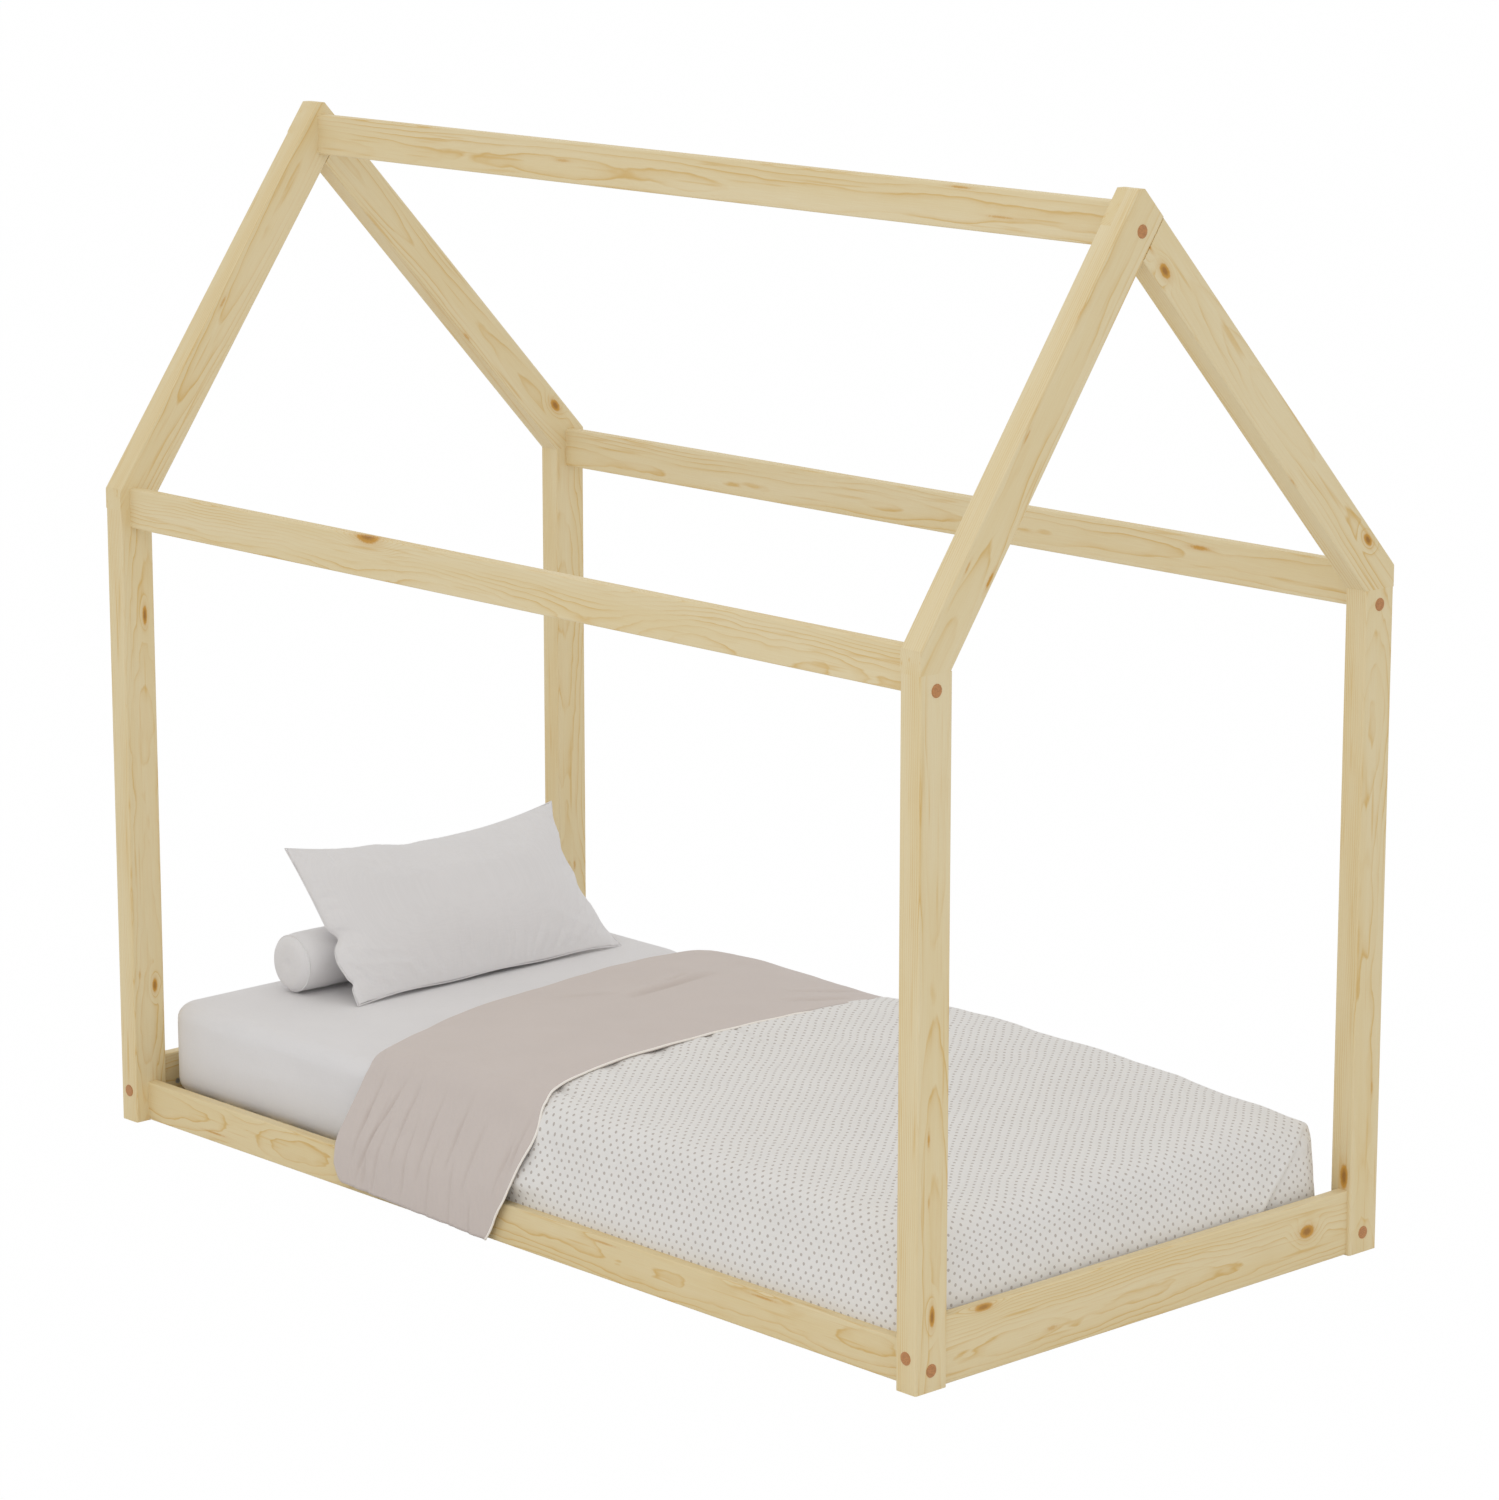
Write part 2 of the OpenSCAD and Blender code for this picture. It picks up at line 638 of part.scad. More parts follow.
// Closed solid between an upper and a lower grid of points, rows along X and columns along Y
module grid_solid(upper, lower) {
  rows = len(upper);
  cols = len(upper[0]);
  n = rows*cols;
  points = concat([for (r = upper) for (p = r) p], [for (r = lower) for (p = r) p]);
  rim = concat(
    [for (j = [0:cols - 1]) j], [for (i = [1:rows - 1]) i*cols + cols - 1],
    [for (j = [1:cols - 1]) rows*cols - 1 - j], [for (i = [1:rows - 2]) (rows - 1 - i)*cols]
  );
  m = len(rim);
  faces = concat(
    [for (i = [0:rows - 2], j = [0:cols - 2]) for (half = [0, 1]) half == 0
      ? [i*cols + j, i*cols + j + 1, (i + 1)*cols + j + 1]
      : [i*cols + j, (i + 1)*cols + j + 1, (i + 1)*cols + j]],
    [for (i = [0:rows - 2], j = [0:cols - 2]) for (half = [0, 1]) half == 0
      ? [n + i*cols + j, n + (i + 1)*cols + j + 1, n + i*cols + j + 1]
      : [n + i*cols + j, n + (i + 1)*cols + j, n + (i + 1)*cols + j + 1]],
    [for (k = [0:m - 1]) for (half = [0, 1]) half == 0
      ? [rim[k], n + rim[k], n + rim[(k + 1) % m]]
      : [rim[k], n + rim[(k + 1) % m], rim[(k + 1) % m]]]
  );
  polyhedron(points, faces);
}

// Rounded upper edge of the mattress: an inset and a drop for each step up to its top
function upper_edge() = [for (a = [0:30:90]) [1 - cos(a), 1 - sin(a)]*mattress_edge];

// Rounded lower and upper edges: an inset and a height for each ring
function edge_rings(inset, low, high) = concat(
  [for (i = [3:-1:0]) [upper_edge()[i][0], low + inset + upper_edge()[i][1]]],
  [for (e = upper_edge()) [e[0], high - inset - e[1]]]
);

module mattress_block(inset) {
  translate([-mattress_shift, -mattress_shift, 0]) ring_solid([for (e = edge_rings(inset, bed_face, mattress_top))
    [for (p = ring(mattress_x - inset - e[0], mattress_y - inset - e[0],
        max(4, mattress_corner - inset - e[0]*0.8), 4, 0, 0)) [p[0], p[1], e[1]]]]);
}

module mattress_core() {
  color("#e6e1d4") mattress_block(sheet_thick);
}

module fitted_sheet() {
  color("#d2cfcd") difference() {
    mattress_block(0);
    mattress_block(sheet_thick);
    translate([sheet_hem - mattress_x - mattress_shift, sheet_hem - mattress_y - mattress_shift, bed_face - 1])
      cube([2*(mattress_x - sheet_hem), 2*(mattress_y - sheet_hem), mattress_high/2]);
  }
}

module bolster() {
  r = bolster_dia/2;
  h = bolster_length/2;
  color("#d2cfcd") translate([bolster_x, bolster_shift, bolster_z]) rotate([90, 0, 0]) rotate_extrude()
    polygon(concat(
      [[0, -h + r*0.12], [r*0.3, -h]],
      [for (a = [20:14:90]) [r*0.62 + r*0.38*sin(a), -h + r*0.38*(1 - cos(a))]],
      [for (a = [90:-14:20]) [r*0.62 + r*0.38*sin(a), h - r*0.38*(1 - cos(a))]],
      [[r*0.3, h], [0, h - r*0.12]]
    ));
}

// Swell of a cushion over its face, none at the rim and least in the corners
function swell(a, b) = pow(max(0, (1 - pow(abs(a), 2.6))*(1 - pow(abs(b), 2.2))), 0.5);

// Point of the pillow: a across and b up its face, from -1 to 1, and w off its middle plane
function pillow_point(a, b, w) =
  let (
    across = a*pillow_wide/2 - (a > 0 ? 2.1 : 0.5)*pillow_draw*(1 - b*b)*a*a*a,
    up = (b + 1)*pillow_high/2 - max(b, 0)*max(b, 0)*pillow_sag*(1 - a*a) - pillow_tilt*(a + 1)*(b + 1)/4
  )
  [
    pillow_x - up*cos(pillow_lean) + w*sin(pillow_lean),
    pillow_shift + across,
    pillow_z + up*sin(pillow_lean) + w*cos(pillow_lean)
  ];

module pillow() {
  na = 22;
  nb = 14;
  color("#d2cfcd") grid_solid(
    [for (i = [0:na]) [for (j = [0:nb]) let (a = 2*i/na - 1, b = 2*j/nb - 1)
      pillow_point(a, b, seam_half + pillow_front*swell(a, b))]],
    [for (i = [0:na]) [for (j = [0:nb]) let (a = 2*i/na - 1, b = 2*j/nb - 1)
      pillow_point(a, b, -seam_half - pillow_back*swell(a, b))]]
  );
}

// Smooth change from 0 to 1
function ease(v) = let (c = max(0, min(1, v))) c*c*(3 - 2*c);

// Shape of the duvet's far shoulder along the bed: it is pressed down by the band, rises beside it
// and falls again towards the foot
function far_shoulder(x) =
  let (beside = duvet_far_sink - duvet_far_fall + (duvet_far_rise + duvet_far_fall)*ease((mattress_x - x)/500))
  beside*ease((x + 40)/200) - duvet_far_sink;

// Height of the duvet's single layer: it falls towards the foot and to both sides
function layer_top(x, y) =
  mattress_top + duvet_loft - duvet_fall*max(0, x)/mattress_x - duvet_side_fall*pow(y/mattress_y, 2)
  + far_shoulder(x)*pow(max(0, y)/mattress_y, 3) + 1.5*sin(x*1.9 + y*0.7);

// One ring of the duvet's outside: inset from the tucked face and share of the full height
function duvet_ring(inset, share) =
  [for (p = ring(tuck_x - inset, tuck_y - inset, max(20, tuck_corner - inset*0.6), 4, 7, 3))
    [p[0], p[1], tuck_z + share*(layer_top(p[0], p[1]) - tuck_z)]];

// One ring of the duvet's underside, round the mattress
function under_ring(inset, z) =
  let (grow = soft_gap - inset)
  [for (p = ring(mattress_x + grow, mattress_y + grow, max(20, mattress_corner + soft_gap - inset*0.8), 4, 7, 3))
    [p[0], p[1], z]];

module duvet_layer() {
  top = mattress_top + soft_gap;
  r = mattress_edge;
  intersection() {
    translate([-mattress_shift, -mattress_shift, 0]) ring_solid([
      under_ring(r*2.5, top), for (i = [3:-1:0]) under_ring(upper_edge()[i][0], top - upper_edge()[i][1]),
      under_ring(0, tuck_z), duvet_ring(0, 0), duvet_ring(1, 0.5), duvet_ring(5, 0.7), duvet_ring(12, 0.82),
      duvet_ring(24, 0.92), duvet_ring(50, 0.972), duvet_ring(110, 0.995), duvet_ring(280, 1)
    ]);
    translate([layer_start, -half_width, 0]) cube([bed_length, bed_width, mattress_top + 4*duvet_loft]);
  }
}

// Half profile of the band, from the bed's middle to its hem: distance and height of its outside.
// The edge is the mattress's side face on that side of the bed, and the band sinks there by sink.
function band_outside(edge, lift, sink, hem, fold) =
  let (top = mattress_top + soft_gap, side = rail_face + soft_gap + band_hang)
  [
    [0, top + lift], [edge*0.45, top + lift*0.98 - sink*0.05], [edge*0.8, top + lift*0.92 - sink*0.5],
    [edge - 26, top + lift*0.84 - sink], [edge + 1, top + lift*0.84 - sink - 18],
    [edge + 17, top + lift*0.5 - sink*0.6 - 40],
    [(edge + 17 + side)/2, (top + lift*0.5 - 40 + rail_top + 20)/2 + 4], [side, rail_top + 12],
    [side + fold*0.5, (rail_top + 12 + hem)/2], [side + fold, hem]
  ];

function band_inside(edge, hem, fold) =
  let (top = mattress_top + soft_gap, side = rail_face + soft_gap, out = edge + soft_gap)
  concat(
    [[0, top], [edge*0.45, top]],
    [for (i = [3:-1:0]) [out - upper_edge()[i][0], top - upper_edge()[i][1]]],
    [
      [(out + side)/2, (top - mattress_edge + rail_top)/2 + 9], [side, rail_top + 2],
      [side + fold*0.3, (rail_top + hem)/2 + 1], [side + fold*0.6, hem]
    ]
  );

// Place along the bed of a point of the band: t from its head edge to its foot edge. Towards the
// near side both edges swing to the foot, towards the far side to the head, and where the band
// hangs its foot edge swings back to the head.
function band_place(t, sy, y, z) =
  let (
    a = min(1, y/mattress_y),
    d = max(0, min(1, 1 - z/mattress_top)),
    head = sy < 0 ? band_swing_near*pow(a, 1.6) - 16*d : band_swing_far*(pow(1 - a, 3) - 1) + 10*d,
    foot = (sy < 0 ? 64*pow(a, 3) : -62*pow(a, 5)) - 84*pow(d, 1.6)
  )
  -band_head + head + t*(band_wide - head + foot);

// Full profile from the near hem over the top to the far hem
function across(t, near, far) = concat(
  [for (i = [len(near) - 1:-1:1]) [band_place(t, -1, near[i][0], near[i][1]), -near[i][0], near[i][1]]],
  [for (p = far) [band_place(t, 1, p[0], p[1]), p[0], p[1]]]
);

module duvet_band() {
  rows = 14;
  places = [for (i = [0:rows]) pow(i/rows, 1.4)];
  near = mattress_y + mattress_shift;
  far = mattress_y - mattress_shift;
  // The fold at the head end is rounded, and the loft grows towards the band's foot edge
  lift = function (t) min(1, pow(t*12 + 0.1, 0.5))*(duvet_loft + band_step)*(0.55 + 0.45*sin(90*min(1, t/0.8)));
  sink = function (t) duvet_far_sink*ease(1.3*t - 0.1);
  hem = function (t) hem_head + (hem_foot - hem_head)*t;
  fold = function (t) band_fold*(0.5 + 0.5*cos(360*3.5*t));
  grid_solid(
    [for (t = places) across(t, band_outside(near, lift(t), 0, hem(t), fold(t)),
      band_outside(far, lift(t), sink(t), hem(t), fold(t)))],
    [for (t = places) across(t, band_inside(near, hem(t), fold(t)), band_inside(far, hem(t), fold(t)))]
  );
}

module duvet() {
  color("#dcd8d4") union() {
    duvet_layer();
    duvet_band();
  }
}

color("#d3c192") post(1, -1);  // post_foot_near
color("#d3c192") post(1, 1);  // post_foot_far
color("#d0bc88") post(-1, -1);  // post_head_near
color("#d0bc88") post(-1, 1);  // post_head_far
color("#d5c59c") rafter(1, -1);  // rafter_foot_near
color("#d5c59c") rafter(1, 1);  // rafter_foot_far
color("#d2c091") rafter(-1, -1);  // rafter_head_near
color("#d2c091") rafter(-1, 1);  // rafter_head_far
ridge_beam();
eaves_rail(-1);  // eaves_rail_near
eaves_rail(1);  // eaves_rail_far
side_rail(-1);  // side_rail_near
side_rail(1);  // side_rail_far
end_rail(1);  // end_rail_foot
end_rail(-1);  // end_rail_head
ledge(-1);  // ledge_near
ledge(1);  // ledge_far
slat(1);  // slat_01
slat(2);  // slat_02
slat(3);  // slat_03
slat(4);  // slat_04
slat(5);  // slat_05
slat(6);  // slat_06
slat(7);  // slat_07
slat(8);  // slat_08
slat(9);  // slat_09
slat(10);  // slat_10
slat(11);  // slat_11
slat(12);  // slat_12
slat(13);  // slat_13
slat(14);  // slat_14
rail_bolts();
barrel_nuts();
eaves_screws();
ridge_screws();
bolt_caps();
post_dowels();
rail_dowels();
ledge_screws();
slat_screws();
mattress_core();
fitted_sheet();
bolster();
pillow();
duvet();
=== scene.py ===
"""House bed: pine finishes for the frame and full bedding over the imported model."""
from math import cos, pi, radians, sin

import bmesh
import bpy
import numpy as np
from bpy.props import FloatProperty, FloatVectorProperty, PointerProperty
from mathutils import Euler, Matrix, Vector


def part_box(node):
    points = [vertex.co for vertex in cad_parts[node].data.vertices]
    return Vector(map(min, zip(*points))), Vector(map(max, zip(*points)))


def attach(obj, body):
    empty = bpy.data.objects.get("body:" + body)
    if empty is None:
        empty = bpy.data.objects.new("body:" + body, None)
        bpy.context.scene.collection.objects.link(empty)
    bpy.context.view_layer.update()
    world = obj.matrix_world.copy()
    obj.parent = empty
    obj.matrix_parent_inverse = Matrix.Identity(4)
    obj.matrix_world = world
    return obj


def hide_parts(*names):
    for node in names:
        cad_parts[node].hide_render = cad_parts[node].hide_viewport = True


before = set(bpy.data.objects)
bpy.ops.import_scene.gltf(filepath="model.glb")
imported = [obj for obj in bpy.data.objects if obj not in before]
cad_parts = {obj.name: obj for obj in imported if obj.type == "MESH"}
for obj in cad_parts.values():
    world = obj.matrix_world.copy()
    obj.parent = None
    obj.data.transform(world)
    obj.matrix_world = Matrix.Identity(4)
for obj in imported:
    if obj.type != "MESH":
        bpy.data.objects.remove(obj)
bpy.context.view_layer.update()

bl_info = {
    "name": "House bed",
    "version": (1, 0, 0),
    "blender": (4, 5, 0),
    "location": "3D View > Sidebar > Bed",
    "description": "Pine, fastenings and bedding of a child's house bed",
    "category": "Object",
}

MM = 0.001

# The made-up mattress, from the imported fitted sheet, and the rails beside it
SHEET_LOW, SHEET_HIGH = (np.array(c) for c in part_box("fitted_sheet"))
BED_MID = (SHEET_LOW + SHEET_HIGH) / 2
BED_HALF = (SHEET_HIGH - SHEET_LOW) / 2
BED_TOP = SHEET_HIGH[2]
BED_FACE = SHEET_LOW[2]
RAIL_OUT = -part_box("side_rail_near")[0][1]
RAIL_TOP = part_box("side_rail_near")[1][2]

# Room between pieces that rest on each other
GAP = 0.5 * MM

# Light that falls on a surface in the studio, where 1 shows a colour as it is
LEVEL = 0.82


def shown(red, green, blue):
    """Linear colour of a surface that shows this 8-bit screen colour in a studio lit to LEVEL."""
    c = np.array([red, green, blue]) / 255
    linear = np.where(c <= 0.04045, c / 12.92, ((c + 0.055) / 1.055) ** 2.4)
    return (*linear / LEVEL, 1.0)


def dimmed(tint, share):
    """A linear colour at a share of its brightness."""
    return tuple(share * c for c in tint[:3]) + (1.0,)


# Settings

def colour(name, text, value):
    return FloatVectorProperty(name=name, description=text, default=value, size=4, min=0, max=1,
                               subtype="COLOR")


def length(name, text, value):
    return FloatProperty(name=name, description=text, default=value, min=0, unit="LENGTH",
                         subtype="DISTANCE")


def fraction(name, text, value):
    return FloatProperty(name=name, description=text, default=value, min=0, max=1)


def angle(name, text, degrees):
    return FloatProperty(name=name, description=text, default=radians(degrees), unit="ROTATION",
                         subtype="ANGLE")


class PineSettings(bpy.types.PropertyGroup):
    pale: colour("Early wood", "Pale wood between the rings", shown(215, 203, 171))
    warm: colour("Warm wood", "Warmer stretches of a board", shown(209, 191, 147))
    line: colour("Late wood", "Dark line of each growth ring", shown(196, 160, 90))
    resin: colour("Resin", "Knots and resin streaks", shown(188, 140, 62))
    heart: colour("Knot heart", "Darkest part of a knot", shown(142, 98, 46))
    ring: length("Ring spacing", "Distance from one growth ring to the next", 4.0 * MM)
    faint: fraction("Faint grain", "Least strength of the grain lines", 0.12)
    strong: fraction("Strong grain", "Greatest strength of the grain lines", 0.80)
    rough: fraction("Roughness", "Roughness of the oiled wood", 0.55)


class FasteningSettings(bpy.types.PropertyGroup):
    zinc: colour("Zinc", "Plated bolts and nuts", shown(196, 200, 204))
    yellow: colour("Yellow zinc", "Small wood screws", shown(205, 176, 106))
    cap: colour("Cap", "Round caps over the bolt heads", shown(178, 123, 74))


class BeddingSettings(bpy.types.PropertyGroup):
    cover: colour("Cover", "Cover of the foam mattress", shown(222, 218, 208))
    sheet: colour("Sheet", "Plain cotton of sheet, bolster and pillow", shown(211, 209, 209))
    white: colour("Duvet", "Ground of the dotted cotton", shown(216, 214, 211))
    piping: colour("Piping", "Cord round the edge of the duvet", shown(230, 225, 218))
    dot: colour("Dots", "Printed dots", shown(163, 154, 147))
    reverse: colour("Reverse", "Plain reverse of the duvet cover", shown(193, 183, 177))
    # Painted shade: the colour that darkens the reverse in the hollows of its creases, in place of the shade
    # that falls there
    hollow: colour("Hollows", "Reverse in the depth of its creases", shown(158, 142, 131))
    dot_size: length("Dot size", "Diameter of a dot", 4.9 * MM)
    dot_step: length("Dot step", "Distance between dots along the bed", 17 * MM)
    dot_row: length("Dot row", "Distance between rows of dots", 10.8 * MM)
    thread: length("Thread", "Distance between threads of the cotton", 0.9 * MM)
    swell: FloatProperty(name="Swell", description="Pressure of the filling in pillow and bolster", default=4.0)


class StudioSettings(bpy.types.PropertyGroup):
    light: FloatProperty(name="Light", description="Level of the even light round the bed", default=0.79, min=0)
    key: FloatProperty(name="Key", description="Power of the soft lamp above the near side", default=23.5,
                       unit="POWER")
    azimuth: angle("Azimuth", "Camera's turn round the bed", 47.082)
    elevation: angle("Elevation", "Camera's tilt down", 12.379)
    stand: FloatVectorProperty(name="Stand", description="Camera's place", default=(6.0984, -5.6085, 2.5696),
                               unit="LENGTH", subtype="TRANSLATION")
    lens: FloatProperty(name="Lens", description="Focal length on a 36 mm sensor", default=121.57)


# Finishes

class Wire:
    """An output of a finish's node tree. Arithmetic on wires and numbers adds Math nodes."""

    def __init__(self, finish, socket):
        self.finish, self.socket = finish, socket

    def __add__(self, other):
        return self.finish.maths("ADD", self, other)

    __radd__ = __add__

    def __sub__(self, other):
        return self.finish.maths("SUBTRACT", self, other)

    def __rsub__(self, other):
        return self.finish.maths("SUBTRACT", other, self)

    def __mul__(self, other):
        return self.finish.maths("MULTIPLY", self, other)

    __rmul__ = __mul__

    def __truediv__(self, other):
        return self.finish.maths("DIVIDE", self, other)

    def __pow__(self, other):
        return self.finish.maths("POWER", self, other)


class Finish:
    """The node tree of a new material or world, with a surface node that takes its values."""

    def __init__(self, name, world=False):
        self.owner = (bpy.data.worlds if world else bpy.data.materials).new(name)
        self.owner.use_nodes = True
        self.tree = self.owner.node_tree
        self.surface = self.tree.nodes["Background" if world else "Principled BSDF"]
        self.end = self.tree.nodes["World Output" if world else "Material Output"]

    def add(self, kind, settings=None, sockets=None, out=0):
        """A node of that type: its settings first, then the values or wires of its sockets."""
        node = self.tree.nodes.new(kind)
        for key, value in (settings or {}).items():
            if key == "stops":
                ramp = node.color_ramp.elements
                while len(ramp) < len(value):
                    ramp.new(0.5)
                for stop, (place, shade) in zip(ramp, value):
                    stop.position = place
                    stop.color = (shade, shade, shade, 1)
            else:
                setattr(node, key, value)
        self.plug(node, sockets or {})
        if isinstance(out, tuple):
            return [Wire(self, node.outputs[o]) for o in out]
        return Wire(self, node.outputs[out])

    def plug(self, node, sockets):
        for key, value in sockets.items():
            if isinstance(value, Wire):
                self.tree.links.new(value.socket, node.inputs[key])
            else:
                node.inputs[key].default_value = value

    def finish(self, **values):
        """Sets the surface's own sockets, by name with _ for a space, and returns the material or world."""
        self.plug(self.surface, {key.replace("_", " "): value for key, value in values.items()})
        return self.owner

    def maths(self, how, *values):
        return self.add("ShaderNodeMath", {"operation": how}, dict(enumerate(values)))

    def vectors(self, how, *values, out=0):
        return self.add("ShaderNodeVectorMath", {"operation": how}, dict(enumerate(values)), out)

    def blend(self, share, one, two):
        return self.add("ShaderNodeMix", {"data_type": "RGBA"}, {0: share, 6: one, 7: two}, 2)

    def noise(self, place, scale, detail=2.0, rough=0.5):
        return self.add("ShaderNodeTexNoise", {}, {"Vector": place, "Scale": scale, "Detail": detail,
                                                   "Roughness": rough})

    def step(self, value, low, high, start=0.0, end=1.0):
        """start below low, end above high, and a smooth change between them."""
        return self.add("ShaderNodeMapRange", {"interpolation_type": "SMOOTHSTEP"},
                        {0: value, 1: low, 2: high, 3: start, 4: end})

    def split(self, vector):
        return self.add("ShaderNodeSeparateXYZ", {}, {0: vector}, (0, 1, 2))

    def join(self, x, y, z):
        return self.add("ShaderNodeCombineXYZ", {}, {0: x, 1: y, 2: z})

    def object_place(self, move=(0, 0, 0), turn=(0, 0, 0)):
        place = self.add("ShaderNodeTexCoord", out="Object")
        return self.add("ShaderNodeMapping", {"vector_type": "POINT"},
                        {"Vector": place, "Location": move, "Rotation": turn})

    def bump(self, height, distance, strength=1.0):
        return self.add("ShaderNodeBump", {}, {"Height": height, "Distance": distance, "Strength": strength})

    def show(self, rays, seen, share=1.0):
        """Lets the rays of these kinds see another shader instead of the surface, at a share of it."""
        kinds = self.add("ShaderNodeLightPath", out=rays)
        straight = kinds[0]
        for kind in kinds[1:]:
            straight = self.maths("MAXIMUM", straight, kind)
        surface = Wire(self, self.surface.outputs[0])
        mixed = self.add("ShaderNodeMixShader", {}, {0: straight * share, 1: surface, 2: seen})
        self.plug(self.end, {"Surface": mixed})


# Marks wider than this, in millimetres, are knots: they have a heart and bend the rings
KNOT_WIDE = 8

# Sway of the growth rings in ordinary boards and in boards whose grain runs straight
SWAY, STRAIGHT_SWAY = 5.0, 2.4


def pine(name, look, turn, middle, pith, tilt=(0, 0), marks=(), tone=0.5, sway=SWAY):
    """Pine board. Growth rings are cylinders round a pith line beside the board: the ring of a point is its
    distance from that line, bent by slow noise and round each knot, over the ring spacing.

    turn is the rotation that lays the board along X, middle its centre and pith the line's place across it in
    millimetres. tilt leans the line, tone warms the wood. marks are knots and resin streaks: centre, length
    and width in millimetres and darkness.
    """
    f = Finish(name)
    spin = Euler(turn).to_matrix()
    middle = Vector(middle)
    board = f.object_place(-(spin @ middle), turn)
    along, side, up = f.split(board)
    seed = 1000 * tone + 40 * sum(middle)

    def drawn(long, wide, detail, rough=0.5):
        """Noise drawn out along the board, with these scales along and across it."""
        return f.noise(f.join(along * long + seed, side * wide, up * wide), 1.0, detail, rough)

    stain, heart, flow = 0.0, 0.0, 0.0
    for centre, long, wide, dark in marks:
        knot = wide > KNOT_WIDE
        off = f.vectors("SUBTRACT", board, tuple(spin @ (Vector(centre) * MM - middle)))
        scaled = f.vectors("MULTIPLY", off, (2 / (long * MM), 2 / (wide * MM), 2 / (wide * MM)))
        reach = f.vectors("LENGTH", scaled, out="Value")
        ragged = reach + (f.noise(board, 260, 1.0) - 0.5) * (0.25 if knot else 0.7)
        stain = stain + f.step(ragged, 1.15, 0.75 if knot else 0.4, 0.0, dark)
        stain = stain + f.step(ragged, 2.2, 0.8, 0.0, 0.3 * dark)
        if knot:
            heart = heart + f.step(ragged, 0.85, 0.25, 0.0, 0.9 * dark)
            flow = flow + f.step(reach, 3.4, 0.0, 0.0, 0.75 * wide * MM)

    out_side = side - along * tilt[0] - pith[0] * MM
    out_up = up - along * tilt[1] - pith[1] * MM
    ring = (out_side * out_side + out_up * out_up) ** 0.5
    for bend, share in ((drawn(2.2, 4, 1.0), 9), (drawn(8, 22, 2.0, 0.55), 1.6), (drawn(34, 160, 1.0), 0.22)):
        ring = ring + (bend - 0.5) * (share * sway * MM)
    phase = f.maths("FRACT", (ring + flow) / look.ring)
    stops = [(0.0, 0.0), (0.52, 0.06), (0.78, 0.38), (0.91, 1.0), (1.0, 0.0)]
    late = f.add("ShaderNodeValToRGB", {"stops": stops}, {0: phase})
    late = late * f.step(drawn(3, 30, 2.0), 0.36, 0.64, look.faint, look.strong)

    fibre = drawn(14, 900, 3.0, 0.6)
    warmth = f.step(drawn(1.6, 22, 2.0), 0.30, 0.70, 0.5 * tone, 0.3 + 0.7 * tone)
    shade = f.blend(warmth, look.pale, look.warm)
    shade = f.blend(late, shade, look.line)
    shade = f.blend(f.step(drawn(6, 130, 1.0), 0.62, 0.80, 0.0, 0.5), shade, look.line)
    shade = f.blend(f.step(fibre, 0.30, 0.70, 0.16, 0.0), shade, look.line)
    if marks:
        shade = f.blend(f.maths("MINIMUM", stain, 1.0), shade, look.resin)
    if heart:
        shade = f.blend(f.maths("MINIMUM", heart, 1.0), shade, look.heart)
    return f.finish(Base_Color=shade, Roughness=late * 0.1 + (fibre * 0.14 + look.rough - 0.07),
                    Normal=f.bump(fibre * 0.5 + late, 0.12 * MM, 0.5), Specular_IOR_Level=0.3)


def metal(name, tint, rough):
    """Plated steel: fine specks change its roughness, and clouds dull its colour."""
    f = Finish(name)
    place = f.object_place()
    speck = f.noise(place, 900, 3.0)
    cloud = f.noise(place, 60, 2.0)
    shade = f.blend(f.step(cloud, 0.35, 0.7, 0.0, 0.6), tint, dimmed(tint, 0.72))
    return f.finish(Base_Color=shade, Metallic=1.0, Roughness=speck * 0.25 + rough,
                    Normal=f.bump(speck, 0.03 * MM, 0.4))


def cap_plastic(tint):
    """Moulded cap with a printed grain: dark flecks along one direction."""
    f = Finish("cap_plastic")
    x, y, z = f.split(f.object_place())
    fleck = f.noise(f.join(x * 300, y * 300, z * 1100), 1.0, 3.0)
    cloud = f.noise(f.join(x * 90, y * 90, z * 160), 1.0, 1.0)
    dark = dimmed(tint, 0.62)
    shade = f.blend(f.step(fleck, 0.45, 0.62, 0.0, 0.65), tint, dark)
    shade = f.blend(f.step(cloud, 0.5, 0.7, 0.0, 0.3), shade, dark)
    return f.finish(Base_Color=shade, Roughness=fleck * 0.2 + 0.4, Normal=f.bump(fleck, 0.05 * MM, 0.3))


